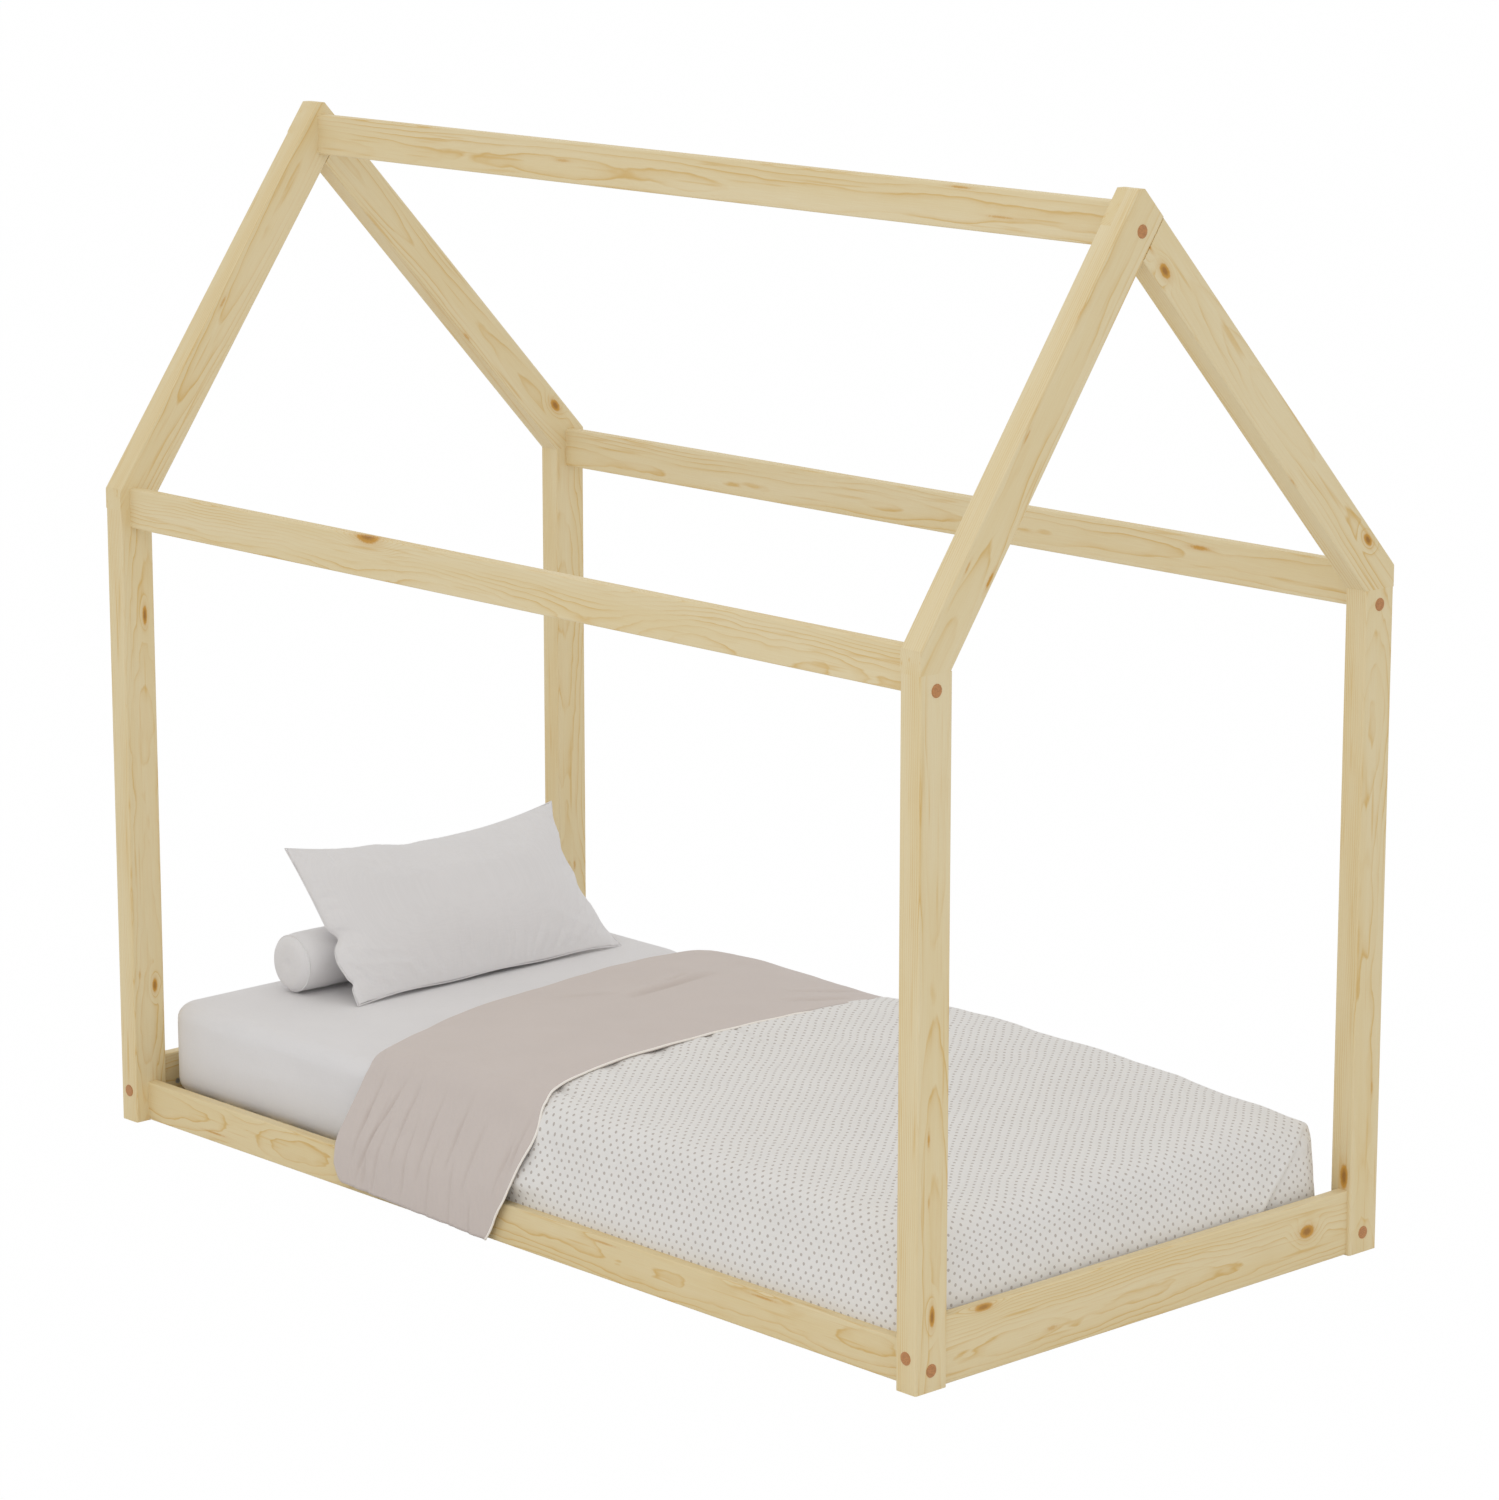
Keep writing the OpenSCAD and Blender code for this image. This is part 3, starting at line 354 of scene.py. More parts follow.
def cotton(name, tint, look, mapped=True, turn=(0, 0, 0), dotted=False, hollow=None):
    """Plain-weave cotton: two crossed rows of threads, uneven threads and slow clouds of darker tint. dotted
    prints round dots on a lattice whose rows stand half a step apart, each point measured from the nearest
    lattice point, with the cloth pulled a little out of line by slow noise. hollow is a painted shade: the
    colour that darkens the depth of creases, by the piece's own attribute."""
    f = Finish(name)
    place = f.add("ShaderNodeUVMap", {"uv_map": "cloth"}) if mapped else f.object_place(turn=turn)
    u, v, rest = f.split(place)
    warp = f.maths("SINE", u * (2 * pi / look.thread))
    weft = f.maths("SINE", v * (2 * pi / look.thread))
    slub = f.noise(f.join(u * 60, v * 1400, rest), 1.0, 2.0)
    slub = slub + f.noise(f.join(u * 1400, v * 60, rest), 1.0, 2.0)
    cloud = f.noise(f.object_place(), 9, 3.0)
    shade = f.blend(f.step(slub + cloud, 1.25, 1.85, 0.0, 0.5), tint, dimmed(tint, 0.94))
    if dotted:
        u = u + (f.noise(f.object_place(), 13, 1.0) - 0.5) * (11 * MM)
        v = v + (f.noise(f.object_place((3, 1, 2)), 13, 1.0) - 0.5) * (11 * MM)
        i = f.maths("FRACT", u / look.dot_step - v * (0.5 / look.dot_row) + 0.5) - 0.5
        j = f.maths("FRACT", v / look.dot_row + 0.5) - 0.5
        off_u = i * look.dot_step + j * (0.5 * look.dot_step)
        off_v = j * look.dot_row
        fuzzy = (off_u * off_u + off_v * off_v) ** 0.5 + (slub - 1.0) * (0.9 * MM)
        radius, blur = look.dot_size / 2, 0.35 * MM
        shade = f.blend(f.step(fuzzy, radius - blur, radius + blur, 0.78, 0.0), shade, look.dot)
    # Painted shade in the creases: the hollow attribute darkens the cloth towards the hollow colour
    if hollow:
        depth = f.add("ShaderNodeAttribute", {"attribute_name": "hollow"}, out="Fac")
        shade = f.blend(depth * 0.8, shade, hollow)
    relief = (warp * weft) * 0.3 + slub * 0.6
    return f.finish(Base_Color=shade, Roughness=slub * 0.06 + 0.84, Normal=f.bump(relief, 0.12 * MM, 0.35),
                    Sheen_Weight=0.12, Sheen_Roughness=0.5, Specular_IOR_Level=0.2)


# Shapes

def smooth_curve(keys, count):
    """Points of a curve through keys. Each coordinate is a monotone cubic of the distance along the keys, so
    the curve doesn't swing past a key. Keys may hold many curves at once, which then share their
    distances."""
    keys = np.asarray(keys, float)
    steps = np.sqrt(((keys[1:] - keys[:-1]) ** 2).sum(-1))
    steps = steps.reshape(len(steps), -1).mean(1) + 1e-9
    at = np.concatenate([[0], np.cumsum(steps)])
    spread = (slice(None),) + (None,) * (keys.ndim - 1)
    slope = (keys[1:] - keys[:-1]) / steps[spread]
    before, after = slope[:-1], slope[1:]
    same = before * after > 0
    inner = np.where(same, 2 * before * after / np.where(same, before + after, 1), 0)
    bend = np.concatenate([slope[:1], inner, slope[-1:]])
    place = np.linspace(0, at[-1], count)
    i = np.clip(np.searchsorted(at, place, side="right") - 1, 0, len(steps) - 1)
    run = steps[i][spread]
    t = ((place - at[i]) / steps[i])[spread]
    return (keys[i] * (2 * t ** 3 - 3 * t ** 2 + 1) + bend[i] * run * (t ** 3 - 2 * t ** 2 + t)
            + keys[i + 1] * (3 * t ** 2 - 2 * t ** 3) + bend[i + 1] * run * (t ** 3 - t ** 2))


def ease(value):
    """Smooth change from 0 below 0 to 1 above 1."""
    value = np.clip(value, 0, 1)
    return value * value * (3 - 2 * value)


def bell(value, power=2):
    """1 at 0, and it falls off to both sides."""
    return np.exp(-(value ** power))


def rumple(u, v, wave, seed, count=14):
    """Slow unevenness from -1 to 1: the mean of sine waves of about one length in many directions."""
    rng = np.random.default_rng(seed)
    turn = rng.uniform(0, 2 * pi, count)
    scale = 2 * pi / (wave * rng.uniform(0.6, 1.6, count))
    phase = rng.uniform(0, 2 * pi, count)
    u, v = np.asarray(u)[..., None], np.asarray(v)[..., None]
    return np.sin(scale * (u * np.cos(turn) + v * np.sin(turn)) + phase).sum(-1) / count ** 0.5 / 1.4


def from_line(u, v, start, end):
    """Distance of each point aside of the line from start to end, and a window that is 1 in the line's middle
    and 0 at both ends: four times the share of the line before the point times the share after it."""
    start, end = np.array(start), np.array(end)
    line = end - start
    size = np.hypot(*line)
    along = ((u - start[0]) * line[0] + (v - start[1]) * line[1]) / size ** 2
    aside = ((u - start[0]) * line[1] - (v - start[1]) * line[0]) / size
    return aside, np.clip(4 * along * (1 - along), 0, 1)


def crease(u, v, start, end, width, height):
    """A ridge along the line from start to end: a bell across it, and it fades out at both ends."""
    aside, window = from_line(u, v, start, end)
    return height * bell(aside / width) * window


def fold(u, v, start, end, width, height):
    """A fold along the line from start to end: a ridge beside a hollow, each a bell across the line, that
    fade out at both ends. Gives its height and how far a point lies in its hollow, 0 to 1."""
    aside, window = from_line(u, v, start, end)
    window = window ** 0.7
    ridge = bell((aside + width) / width)
    hollow = bell((aside - 0.3 * width) / (0.7 * width))
    return height * window * (0.7 * ridge - hollow), window * hollow


def outline(half_x, half_y, corner, arc, nx, ny):
    """Rounded rectangle about the origin, anticlockwise from the +Y end of its +X side: four quarter circles of
    arc steps joined by straight sides of nx and ny steps."""
    cx, cy = half_x - corner, half_y - corner
    turn = np.linspace(0, pi / 2, arc + 1)
    corners = ((1, 1), (-1, 1), (-1, -1), (1, -1))
    side_ends = np.array([[-cx, half_y], [-half_x, -cy], [cx, -half_y], [half_x, cy]])
    parts = []
    for quarter, (sx, sy) in enumerate(corners):
        a = turn + quarter * pi / 2
        parts.append(np.stack([sx * cx + corner * np.cos(a), sy * cy + corner * np.sin(a)], -1))
        start, n = parts[-1][-1], (nx, ny)[quarter % 2]
        share = (np.arange(1, n) / n)[:, None]
        parts.append(start + (side_ends[quarter] - start) * share)
    return np.concatenate(parts)


def unrolled(p, half_x, half_y, corner):
    """Places of an outline's points with its corners laid flat: the distance round a corner goes on along the
    end, and then along the side, of the plan."""
    cx, cy = half_x - corner, half_y - corner
    x, y = np.abs(p[:, 0]), np.abs(p[:, 1])
    turn = np.arctan2(np.maximum(y - cy, 0), np.maximum(x - cx, 0))
    sign = np.where(p < 0, -1.0, 1.0)
    along_end = np.stack([np.full(len(p), half_x), np.minimum(y, cy) + corner * turn], -1)
    along_side = np.stack([np.minimum(x, cx) + corner * (pi / 2 - turn), np.full(len(p), half_y)], -1)
    return sign * along_end, sign * along_side


def mirror_strip(arc, nx, ny):
    """Faces that close a narrow outline: four-sided ones from each step to its mirror image, and a triangle
    at both ends."""
    cols = 4 * arc + 2 * nx + 2 * ny
    k = np.arange(-ny // 2, 2 * arc + nx + ny // 2 + 1)
    a, b = k % cols, (-ny - k) % cols
    return (np.stack([a[1:-2], a[2:-1], b[2:-1], b[1:-2]], -1),
            np.array([[a[0], a[1], b[1]], [a[-2], a[-1], b[-2]]]))


def grid_faces(rows, cols, around=False):
    """Four-sided faces of a grid of points, closed round its columns if around."""
    index = np.arange(rows * cols).reshape(rows, cols)
    if around:
        index = np.concatenate([index, index[:, :1]], 1)
    return np.stack([index[:-1, :-1], index[:-1, 1:], index[1:, 1:], index[1:, :-1]], -1).reshape(-1, 4)


def normals(grid, around=False):
    """Unit normals of a grid of points that point away from its middle: the cross product of its two
    directions. The grid is closed round its columns if around."""
    if around:
        grid = np.concatenate([grid, grid[:, :1]], 1)
    n = np.cross(np.gradient(grid, axis=0), np.gradient(grid, axis=1))
    n = n / (np.linalg.norm(n, axis=-1, keepdims=True) + 1e-12)
    if ((grid - grid.mean((0, 1))) * n).sum() < 0:
        n = -n
    return n[:, :-1] if around else n


def run_length(points):
    """Distance along a line of points from its first, or the mean over many such lines side by side."""
    steps = np.linalg.norm(np.diff(points, axis=0), axis=-1)
    return np.concatenate([[0], np.cumsum(steps if steps.ndim == 1 else steps.mean(1))])


def volume(points, faces):
    """Signed volume inside faces, from the triangles of each face's fan."""
    total = 0
    for f in faces:
        p = points[f]
        for k in range(1, p.shape[1] - 1):
            total += np.einsum("ij,ij->", p[:, 0], np.cross(p[:, k], p[:, k + 1])) / 6
    return total


def make(name, points, faces, finish, body, slot, cloth=None, hollow=None):
    """A smooth mesh piece from points and lists of equal-sided faces, turned outwards, on its body. cloth
    holds the flat place of each face's corners, in metres, and hollow how far each point lies in a crease,
    which the finish can darken as painted shade."""
    if volume(points, faces) < 0:
        faces = [f[:, ::-1] for f in faces]
        cloth = None if cloth is None else [c[:, ::-1] for c in cloth]
    mesh = bpy.data.meshes.new(name)
    mesh.from_pydata(points.tolist(), [], [row for f in faces for row in f.tolist()])
    mesh.shade_smooth()
    if cloth is not None:
        layer = mesh.uv_layers.new(name="cloth")
        layer.data.foreach_set("uv", np.concatenate([c.reshape(-1) for c in cloth]).astype(np.float32))
    if hollow is not None:
        mesh.attributes.new("hollow", "FLOAT", "POINT").data.foreach_set("value", np.float32(hollow))
    mesh.materials.append(finish)
    piece = bpy.data.objects.new(name, mesh)
    bpy.context.scene.collection.objects.link(piece)
    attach(piece, body)
    return piece


def skin_between(upper, lower):
    """Points and faces of the closed skin between two grids of equal size: both grids and a rim that joins
    them."""
    rows, cols = upper.shape[:2]
    count = rows * cols
    index = np.arange(count).reshape(rows, cols)
    rim = np.concatenate([index[0, :-1], index[:-1, -1], index[-1, :0:-1], index[:0:-1, 0]])
    after = np.roll(rim, -1)
    faces = grid_faces(rows, cols)
    join = np.stack([after, rim, rim + count, after + count], -1)
    return (np.concatenate([upper.reshape(-1, 3), lower.reshape(-1, 3)]),
            [np.concatenate([faces, faces[:, ::-1] + count, join])])


def loft(rings):
    """Points and faces of the closed skin through rings of points, with a fan over the first and the last
    ring."""
    rows, cols = rings.shape[:2]
    points = np.concatenate([rings.reshape(-1, 3), rings[0].mean(0)[None], rings[-1].mean(0)[None]])
    ring = np.arange(cols)
    after = np.roll(ring, -1)
    first = np.stack([np.full(cols, rows * cols), after, ring], -1)
    last = np.stack([np.full(cols, rows * cols + 1), ring, after], -1)
    last = last + np.array([0, 1, 1]) * (rows - 1) * cols
    return points, [grid_faces(rows, cols, True), np.concatenate([first, last])]


def tube(path, radius, sides=8, around=False):
    """Points and faces of a round cord along path: a circle across each point, in the plane of its
    normals."""
    along = np.roll(path, -1, 0) - np.roll(path, 1, 0) if around else np.gradient(path, axis=0)
    along /= np.linalg.norm(along, axis=1, keepdims=True)
    spine = np.tile([0.13, 0.07, 1.0], (len(path), 1))
    side = np.cross(along, spine)
    side /= np.linalg.norm(side, axis=1, keepdims=True)
    up = np.cross(side, along)
    turn = np.linspace(0, 2 * pi, sides, endpoint=False)[None, :, None]
    rings = path[:, None] + radius * (side[:, None] * np.cos(turn) + up[:, None] * np.sin(turn))
    if not around:
        return loft(rings)
    index = grid_faces(len(path) + 1, sides, True) % (len(path) * sides)
    return rings.reshape(-1, 3), [index]


def places(mesh):
    """Points of a mesh."""
    co = np.empty(len(mesh.vertices) * 3, np.float32)
    mesh.vertices.foreach_get("co", co)
    return co.reshape(-1, 3)


def evaluated(piece):
    return piece.evaluated_get(bpy.context.evaluated_depsgraph_get())


# Frames for which the cloth pressure works
SWELL_FRAMES = 20


def cloth_swell(piece, pressure, slack, held):
    """Points of the piece after cloth pressure has swollen it. held gives how firmly a point stays, 0 to
    1."""
    start = places(piece.data)
    cloth = piece.modifiers.new("fill", "CLOTH")
    settings = cloth.settings
    if held is not None:
        group = piece.vertex_groups.new(name="held")
        weight = np.round(np.clip(held(start), 0, 1), 2)
        for w in np.unique(weight):
            if w > 0:
                group.add(np.flatnonzero(weight == w).tolist(), float(w), "REPLACE")
        settings.vertex_group_mass = "held"
    settings.quality = 4
    settings.use_pressure = True
    settings.uniform_pressure_force = pressure
    settings.tension_stiffness = settings.compression_stiffness = 12
    settings.bending_stiffness = 0.4
    settings.shrink_min = -slack
    settings.effector_weights.gravity = 0
    cloth.point_cache.frame_start, cloth.point_cache.frame_end = 1, SWELL_FRAMES
    for number in range(1, SWELL_FRAMES + 1):
        bpy.context.scene.frame_set(number)
    swollen = places(evaluated(piece).to_mesh())
    piece.modifiers.clear()
    piece.vertex_groups.clear()
    bpy.context.scene.frame_set(1)
    return swollen


def swell_up(piece, voxel, pressure, reach, held=None, floor=0.0, slack=0.0):
    """Fills the piece like a pad: it is remeshed evenly and swollen by cloth pressure, no point moves further
    than reach, and none lies below floor."""
    remesh = piece.modifiers.new("even", "REMESH")
    remesh.mode = "VOXEL"
    remesh.voxel_size = voxel
    remesh.use_smooth_shade = True
    even = bpy.data.meshes.new_from_object(evaluated(piece))
    piece.modifiers.clear()
    finish = piece.data.materials[0]
    old, piece.data = piece.data, even
    bpy.data.meshes.remove(old)
    even.name = piece.name
    if not even.materials:
        even.materials.append(finish)
    points = places(even)
    shift = cloth_swell(piece, pressure, slack, held) - points
    size = np.linalg.norm(shift, axis=1, keepdims=True) + 1e-9
    points = points + shift * (reach * np.tanh(size / reach) / size)
    points[:, 2] = np.maximum(points[:, 2], floor)
    even.vertices.foreach_set("co", points.reshape(-1))
    even.update()
    even.shade_smooth()
    fine = piece.modifiers.new("fine", "SUBSURF")
    fine.levels = fine.render_levels = 1


def dress(node, finish):
    """Gives a CAD node its finish in every material slot."""
    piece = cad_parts[node]
    if not piece.material_slots:
        piece.data.materials.append(finish)
    for place in piece.material_slots:
        place.material = finish


# Turns that lay a board along X: the boards along each axis, and the rafters at their slopes in degrees

NEAR_SLOPE, FAR_SLOPE = 54.96, 46.88
TURNS = {
    "x": (0, 0, 0),
    "y": (0, 0, radians(-90)),
    "z": (0, radians(90), 0),
    "near": (radians(-NEAR_SLOPE), 0, radians(-90)),
    "far": (radians(FAR_SLOPE - 180), 0, radians(-90)),
}

# Boards of the frame: grain direction, pith line across the board, its tilt, tone, and marks as centre,
# length, width and darkness
BOARDS = {
    "post_foot_near": ("z", (4, 70), (0, 0.01), 0.55, [
        ((1000, -495, 118), 34, 11, 0.9), ((1000, -505, 396), 26, 5, 0.7), ((1000, -504, 298), 18, 4, 0.4)]),
    "post_foot_far": ("z", (-10, 90), (0.01, 0), 0.62, [
        ((985, 463, 132), 42, 16, 0.9), ((1000, 509, 277), 26, 5, 0.5)]),
    "post_head_near": ("z", (8, 60), (0.01, 0.01), 0.75, [
        ((-958, -483, 244), 26, 11, 0.8), ((-958, -515, 268), 16, 5, 0.4), ((-958, -484, 910), 34, 9.5, 0.9)]),
    "post_head_far": ("z", (-14, 80), (0, 0.01), 0.7, [((-958, 500, 300), 20, 6, 0.5)]),
    "rafter_foot_near": ("near", (70, 6), (0.005, 0.01), 0.5, [
        ((1000, -204, 1600), 30, 4, 0.5), ((1000, -313, 1428), 24, 4, 0.5), ((1000, -434, 1249), 26, 4, 0.5),
        ((1000, -388, 1224), 34, 6, 0.8), ((975, -529, 1170), 30, 14, 0.6)]),
    "rafter_foot_far": ("far", (56, -12), (0.01, 0.01), 0.7, [
        ((1000, -21, 1647), 30, 16, 0.9), ((1000, 463, 1182), 26, 14, 0.9), ((1000, 280, 1294), 22, 5, 0.5),
        ((1000, -60, 1690), 30, 6, 0.8)]),
    "rafter_head_near": ("near", (-80, 10), (0.01, 0), 0.5, [((-958, -300, 1440), 26, 6, 0.5)]),
    "rafter_head_far": ("far", (-70, 6), (0, 0.01), 0.5, [
        ((-958, 250, 1330), 24, 6, 0.5), ((-958, 461, 1182), 28, 16, 0.9)]),
    "ridge_beam": ("x", (60, -8), (0.004, 0.006), 0.45, [
        ((630, -83, 1748), 50, 4, 0.6), ((716, -83, 1709), 60, 4, 0.5), ((-300, -83, 1720), 40, 5, 0.4)]),
    "eaves_rail_near": ("x", (60, -40), (0.004, 0.012), 0.6, [((-304, -509, 1139), 62, 30, 0.9)]),
    "eaves_rail_far": ("x", (48, -6), (0.006, 0.01), 0.55, [((624, 487, 1117), 46, 8, 0.7)]),
    "side_rail_near": ("x", (90, 10), (0.006, 0.004), 0.7, [
        ((-764, -503, 18), 60, 4, 0.6), ((263, -503, 61), 60, 4, 0.5), ((638, -503, 61), 60, 4, 0.6)]),
    "side_rail_far": ("x", (-70, 10), (0.006, 0.004), 0.6, [((100, 503, 40), 40, 5, 0.5)]),
    "end_rail_foot": ("y", (46, -16), (0.012, 0.004), 0.5, [
        ((993, 365, 62), 34, 22, 0.9), ((993, -378, 105), 40, 12, 0.7), ((993, -228, 37), 26, 8, 0.4)]),
    "end_rail_head": ("y", (-52, 10), (0.01, 0.006), 0.6, [((-972, 120, 70), 30, 16, 0.7)]),
}

# Boards whose grain runs straight
STRAIGHT = ("ridge_beam", "eaves_rail_far", "rafter_foot_near", "rafter_foot_far", "rafter_head_near",
            "rafter_head_far", "post_foot_near")


class BED_OT_pine_frame(bpy.types.Operator):
    """Gives each board of the house frame its own pine"""
    bl_idname = "bed.pine_frame"
    bl_label = "Pine frame"

    def execute(self, context):
        look = context.scene.bed_pine
        for node, (grain, pith, tilt, tone, marks) in BOARDS.items():
            low, high = (np.array(c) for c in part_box(node))
            sway = STRAIGHT_SWAY if node in STRAIGHT else SWAY
            dress(node, pine("pine_" + node, look, TURNS[grain], tuple((low + high) / 2), pith, tilt, marks,
                             tone, sway))
        return {"FINISHED"}


class BED_OT_pine_base(bpy.types.Operator):
    """Gives ledges, slats and dowels their wood"""
    bl_idname = "bed.pine_base"
    bl_label = "Base and dowels"

    def execute(self, context):
        look = context.scene.bed_pine
        ledge = pine("pine_ledge", look, TURNS["x"], (0, 0, 0.017), (70, 4), (0.01, 0.01), tone=0.6)
        slat = pine("pine_slat", look, TURNS["y"], (0, 0, 0.0355), (40, -60), (0.02, 0.01), sway=9)
        dowel = pine("beech_dowel", look, TURNS["z"], (0, 0, 0), (20, 10), tone=0.8, sway=2)
        boards = {"ledge": ledge, "slat": slat}
        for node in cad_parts:
            kind, last = node.split("_")[0], node.split("_")[-1]
            if last == "dowels":
                dress(node, dowel)
            elif kind in boards and last != "screws":
                dress(node, boards[kind])
        return {"FINISHED"}


class BED_OT_fastenings(bpy.types.Operator):
    """Gives bolts, nuts, screws and caps their finish"""
    bl_idname = "bed.fastenings"
    bl_label = "Fastenings"

    def execute(self, context):
        look = context.scene.bed_fastening
        zinc = metal("zinc_plate", tuple(look.zinc), 0.28)
        yellow = metal("yellow_zinc", tuple(look.yellow), 0.3)
        for node in ("rail_bolts", "barrel_nuts", "eaves_screws", "ridge_screws"):
            dress(node, zinc)
        for node in ("ledge_screws", "slat_screws"):
            dress(node, yellow)
        dress("bolt_caps", cap_plastic(tuple(look.cap)))
        return {"FINISHED"}


# Mattress and sheet: corner and edge radius of the block, and the steps of its corners, long and short sides

MATTRESS_CORNER, MATTRESS_EDGE = 42 * MM, 30 * MM
BLOCK_STEPS = 8, 120, 60

# Room between mattress and sheet, wall of the sheet and its hem under the mattress
SHEET_ROOM, SHEET_WALL, SHEET_HEM = 1.7 * MM, 1.0 * MM, 110 * MM

# Creases on the sheet's near side: start and end by the place along the bed and the height, and width, in
# metres, and height in millimetres
SHEET_CREASES = (((-0.90, 0.19), (-0.60, 0.15), 0.006, 1.2), ((-0.86, 0.12), (-0.45, 0.14), 0.009, 1.0),
                 ((-0.70, 0.19), (-0.42, 0.17), 0.007, 0.9))


def block_rings(inset, edge_steps=7, hem=0.0):
    """Rings of the mattress block, from its underside up over its sides to its top. The long edges are
    quarter circles and the corners shrink with them. With a hem the underside is left open inside it."""
    turn = np.linspace(0, pi / 2, edge_steps)
    low = np.stack([1 - np.sin(turn), 1 - np.cos(turn)], -1) * MATTRESS_EDGE
    rise = np.stack([np.zeros(10), np.linspace(0, 1, 12)[1:-1]], -1)
    straight = BED_TOP - BED_FACE - 2 * MATTRESS_EDGE
    keys = np.concatenate([
        np.stack([low[:, 0], BED_FACE + inset + low[:, 1]], -1),
        np.stack([rise[:, 0], BED_FACE + MATTRESS_EDGE + rise[:, 1] * straight], -1),
        np.stack([low[::-1, 0], BED_TOP - inset - low[::-1, 1]], -1)])
    flat = np.array([1, 2.2, 4, 7, 11])[:, None] * MATTRESS_EDGE
    top = np.concatenate([MATTRESS_EDGE + flat, np.full((5, 1), BED_TOP - inset)], -1)
    under = np.concatenate([MATTRESS_EDGE + flat[::-1], np.full((5, 1), BED_FACE + inset)], -1)
    keys = np.concatenate([under, keys, top])
    if hem:
        keys = keys[len(under) - 3:]
        keys[:3, 0] = np.array([hem, hem * 0.75, hem * 0.5])
    rings = []
    for e, z in keys:
        corner = max(4 * MM, MATTRESS_CORNER - inset - 0.8 * min(e, MATTRESS_EDGE))
        p = outline(BED_HALF[0] - inset - e, BED_HALF[1] - inset - e, corner, *BLOCK_STEPS)
        rings.append(np.column_stack([p, np.full(len(p), z)]))
    rings = np.stack(rings) + np.array([BED_MID[0], BED_MID[1], 0])
    x, y, z = np.moveaxis(rings, -1, 0)
    raised = ease((y - 0.36) / 0.06) * ease((-0.54 - x) / 0.08) * ease((z - BED_TOP + 0.06) / 0.05)
    rings[..., 2] += 6.5 * MM * raised
    return rings


def sheet_wrinkles(p):
    """How far the sheet stands out from its smooth form: shallow pulls at the corners and along the top."""
    x, y, z = np.moveaxis(p, -1, 0)
    side = np.clip((BED_TOP - 0.01 - z) / 0.03, 0, 1)
    pull = 0.9 * MM * rumple(x, (y + z * 1.5) * 0.6, 0.16, 4) * (0.35 + 0.65 * side)
    near_head = np.exp(-((x + 0.93) ** 2 + (y + 0.44) ** 2) / 0.09 ** 2)
    tucks = 1.1 * MM * np.sin((x - y) * 2 * pi / 0.024) * near_head * side
    lines = sum(crease(x, z, start, end, width, height * MM) * (y < -0.44)
                for start, end, width, height in SHEET_CREASES)
    return -np.abs(pull) * 0.7 + tucks * 0.6 + lines


class BED_OT_mattress(bpy.types.Operator):
    """Makes the foam mattress in its plain cover"""
    bl_idname = "bed.mattress"
    bl_label = "Mattress"

    def execute(self, context):
        look = context.scene.bed_bedding
        cover = cotton("mattress_cover", tuple(look.cover), look, mapped=False)
        core = make("mattress", *loft(block_rings(SHEET_ROOM)), cover, "mattress", "mattress_cover")
        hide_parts("mattress_core")
        return {"FINISHED"}


class BED_OT_fitted_sheet(bpy.types.Operator):
    """Makes the fitted sheet: stretched over the mattress, with its hem turned under"""
    bl_idname = "bed.fitted_sheet"
    bl_label = "Fitted sheet"

    def execute(self, context):
        look = context.scene.bed_bedding
        rings = block_rings(0.0, 9, SHEET_HEM)
        away = normals(rings, True)
        side = away[14][None, :, :2]
        rings = rings + away * np.minimum(sheet_wrinkles(rings), 2 * MM)[..., None]
        rings[..., 2] = np.maximum(rings[..., 2], BED_FACE)
        rows, cols = rings.shape[:2]
        points = np.concatenate([rings.reshape(-1, 3), rings[-1].mean(0)[None]])
        ring = np.arange(cols) + (rows - 1) * cols
        fan = np.stack([ring, np.roll(ring, -1), np.full(cols, rows * cols)], -1)
        faces = [grid_faces(rows, cols, True), fan]
        run = run_length(rings)
        reach = (run[-1] - run)[:, None, None]
        flat = np.concatenate([(rings[-1][None, :, :2] + side * reach).reshape(-1, 2), [[0, 0]]])
        sheet = make("fitted_sheet_cloth", points, faces, cotton("white_cotton", tuple(look.sheet), look),
                     "mattress", "white_cotton", [flat[f] for f in faces])
        wall = sheet.modifiers.new("cloth", "SOLIDIFY")
        wall.thickness = SHEET_WALL
        wall.offset = -1.0
        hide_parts("fitted_sheet")
        return {"FINISHED"}


# Bolster and pillow

BOLSTER_LOW, BOLSTER_HIGH = (np.array(c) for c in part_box("bolster"))
BOLSTER_SKIN = 2.5 * MM
PILLOW_WIDE, PILLOW_HIGH, PILLOW_LEAN = 620 * MM, 322 * MM, radians(51)
PILLOW_SEAM = np.array([-694.5 * MM, 75 * MM, 212 * MM])

# Half thickness of the pillow before and behind its seam, and of the seam
PILLOW_FRONT, PILLOW_BACK, SEAM_THICK = 46 * MM, 26 * MM, 1.4 * MM

# Folds from the pillow's corners: start, end and width across and up its face, and height in millimetres
PILLOW_FOLDS = (((-1.0, -0.55), (-0.35, -0.80), 0.035, 2.6), ((-0.99, -0.35), (-0.50, -0.62), 0.03, 1.6),
                ((0.98, -0.95), (0.45, -0.35), 0.05, 2.2), ((0.93, -0.98), (0.30, -0.60), 0.04, 2.0),
                ((-0.9, 0.99), (-0.4, 0.55), 0.05, 1.6), ((0.95, 0.95), (0.5, 0.6), 0.05, 1.4))


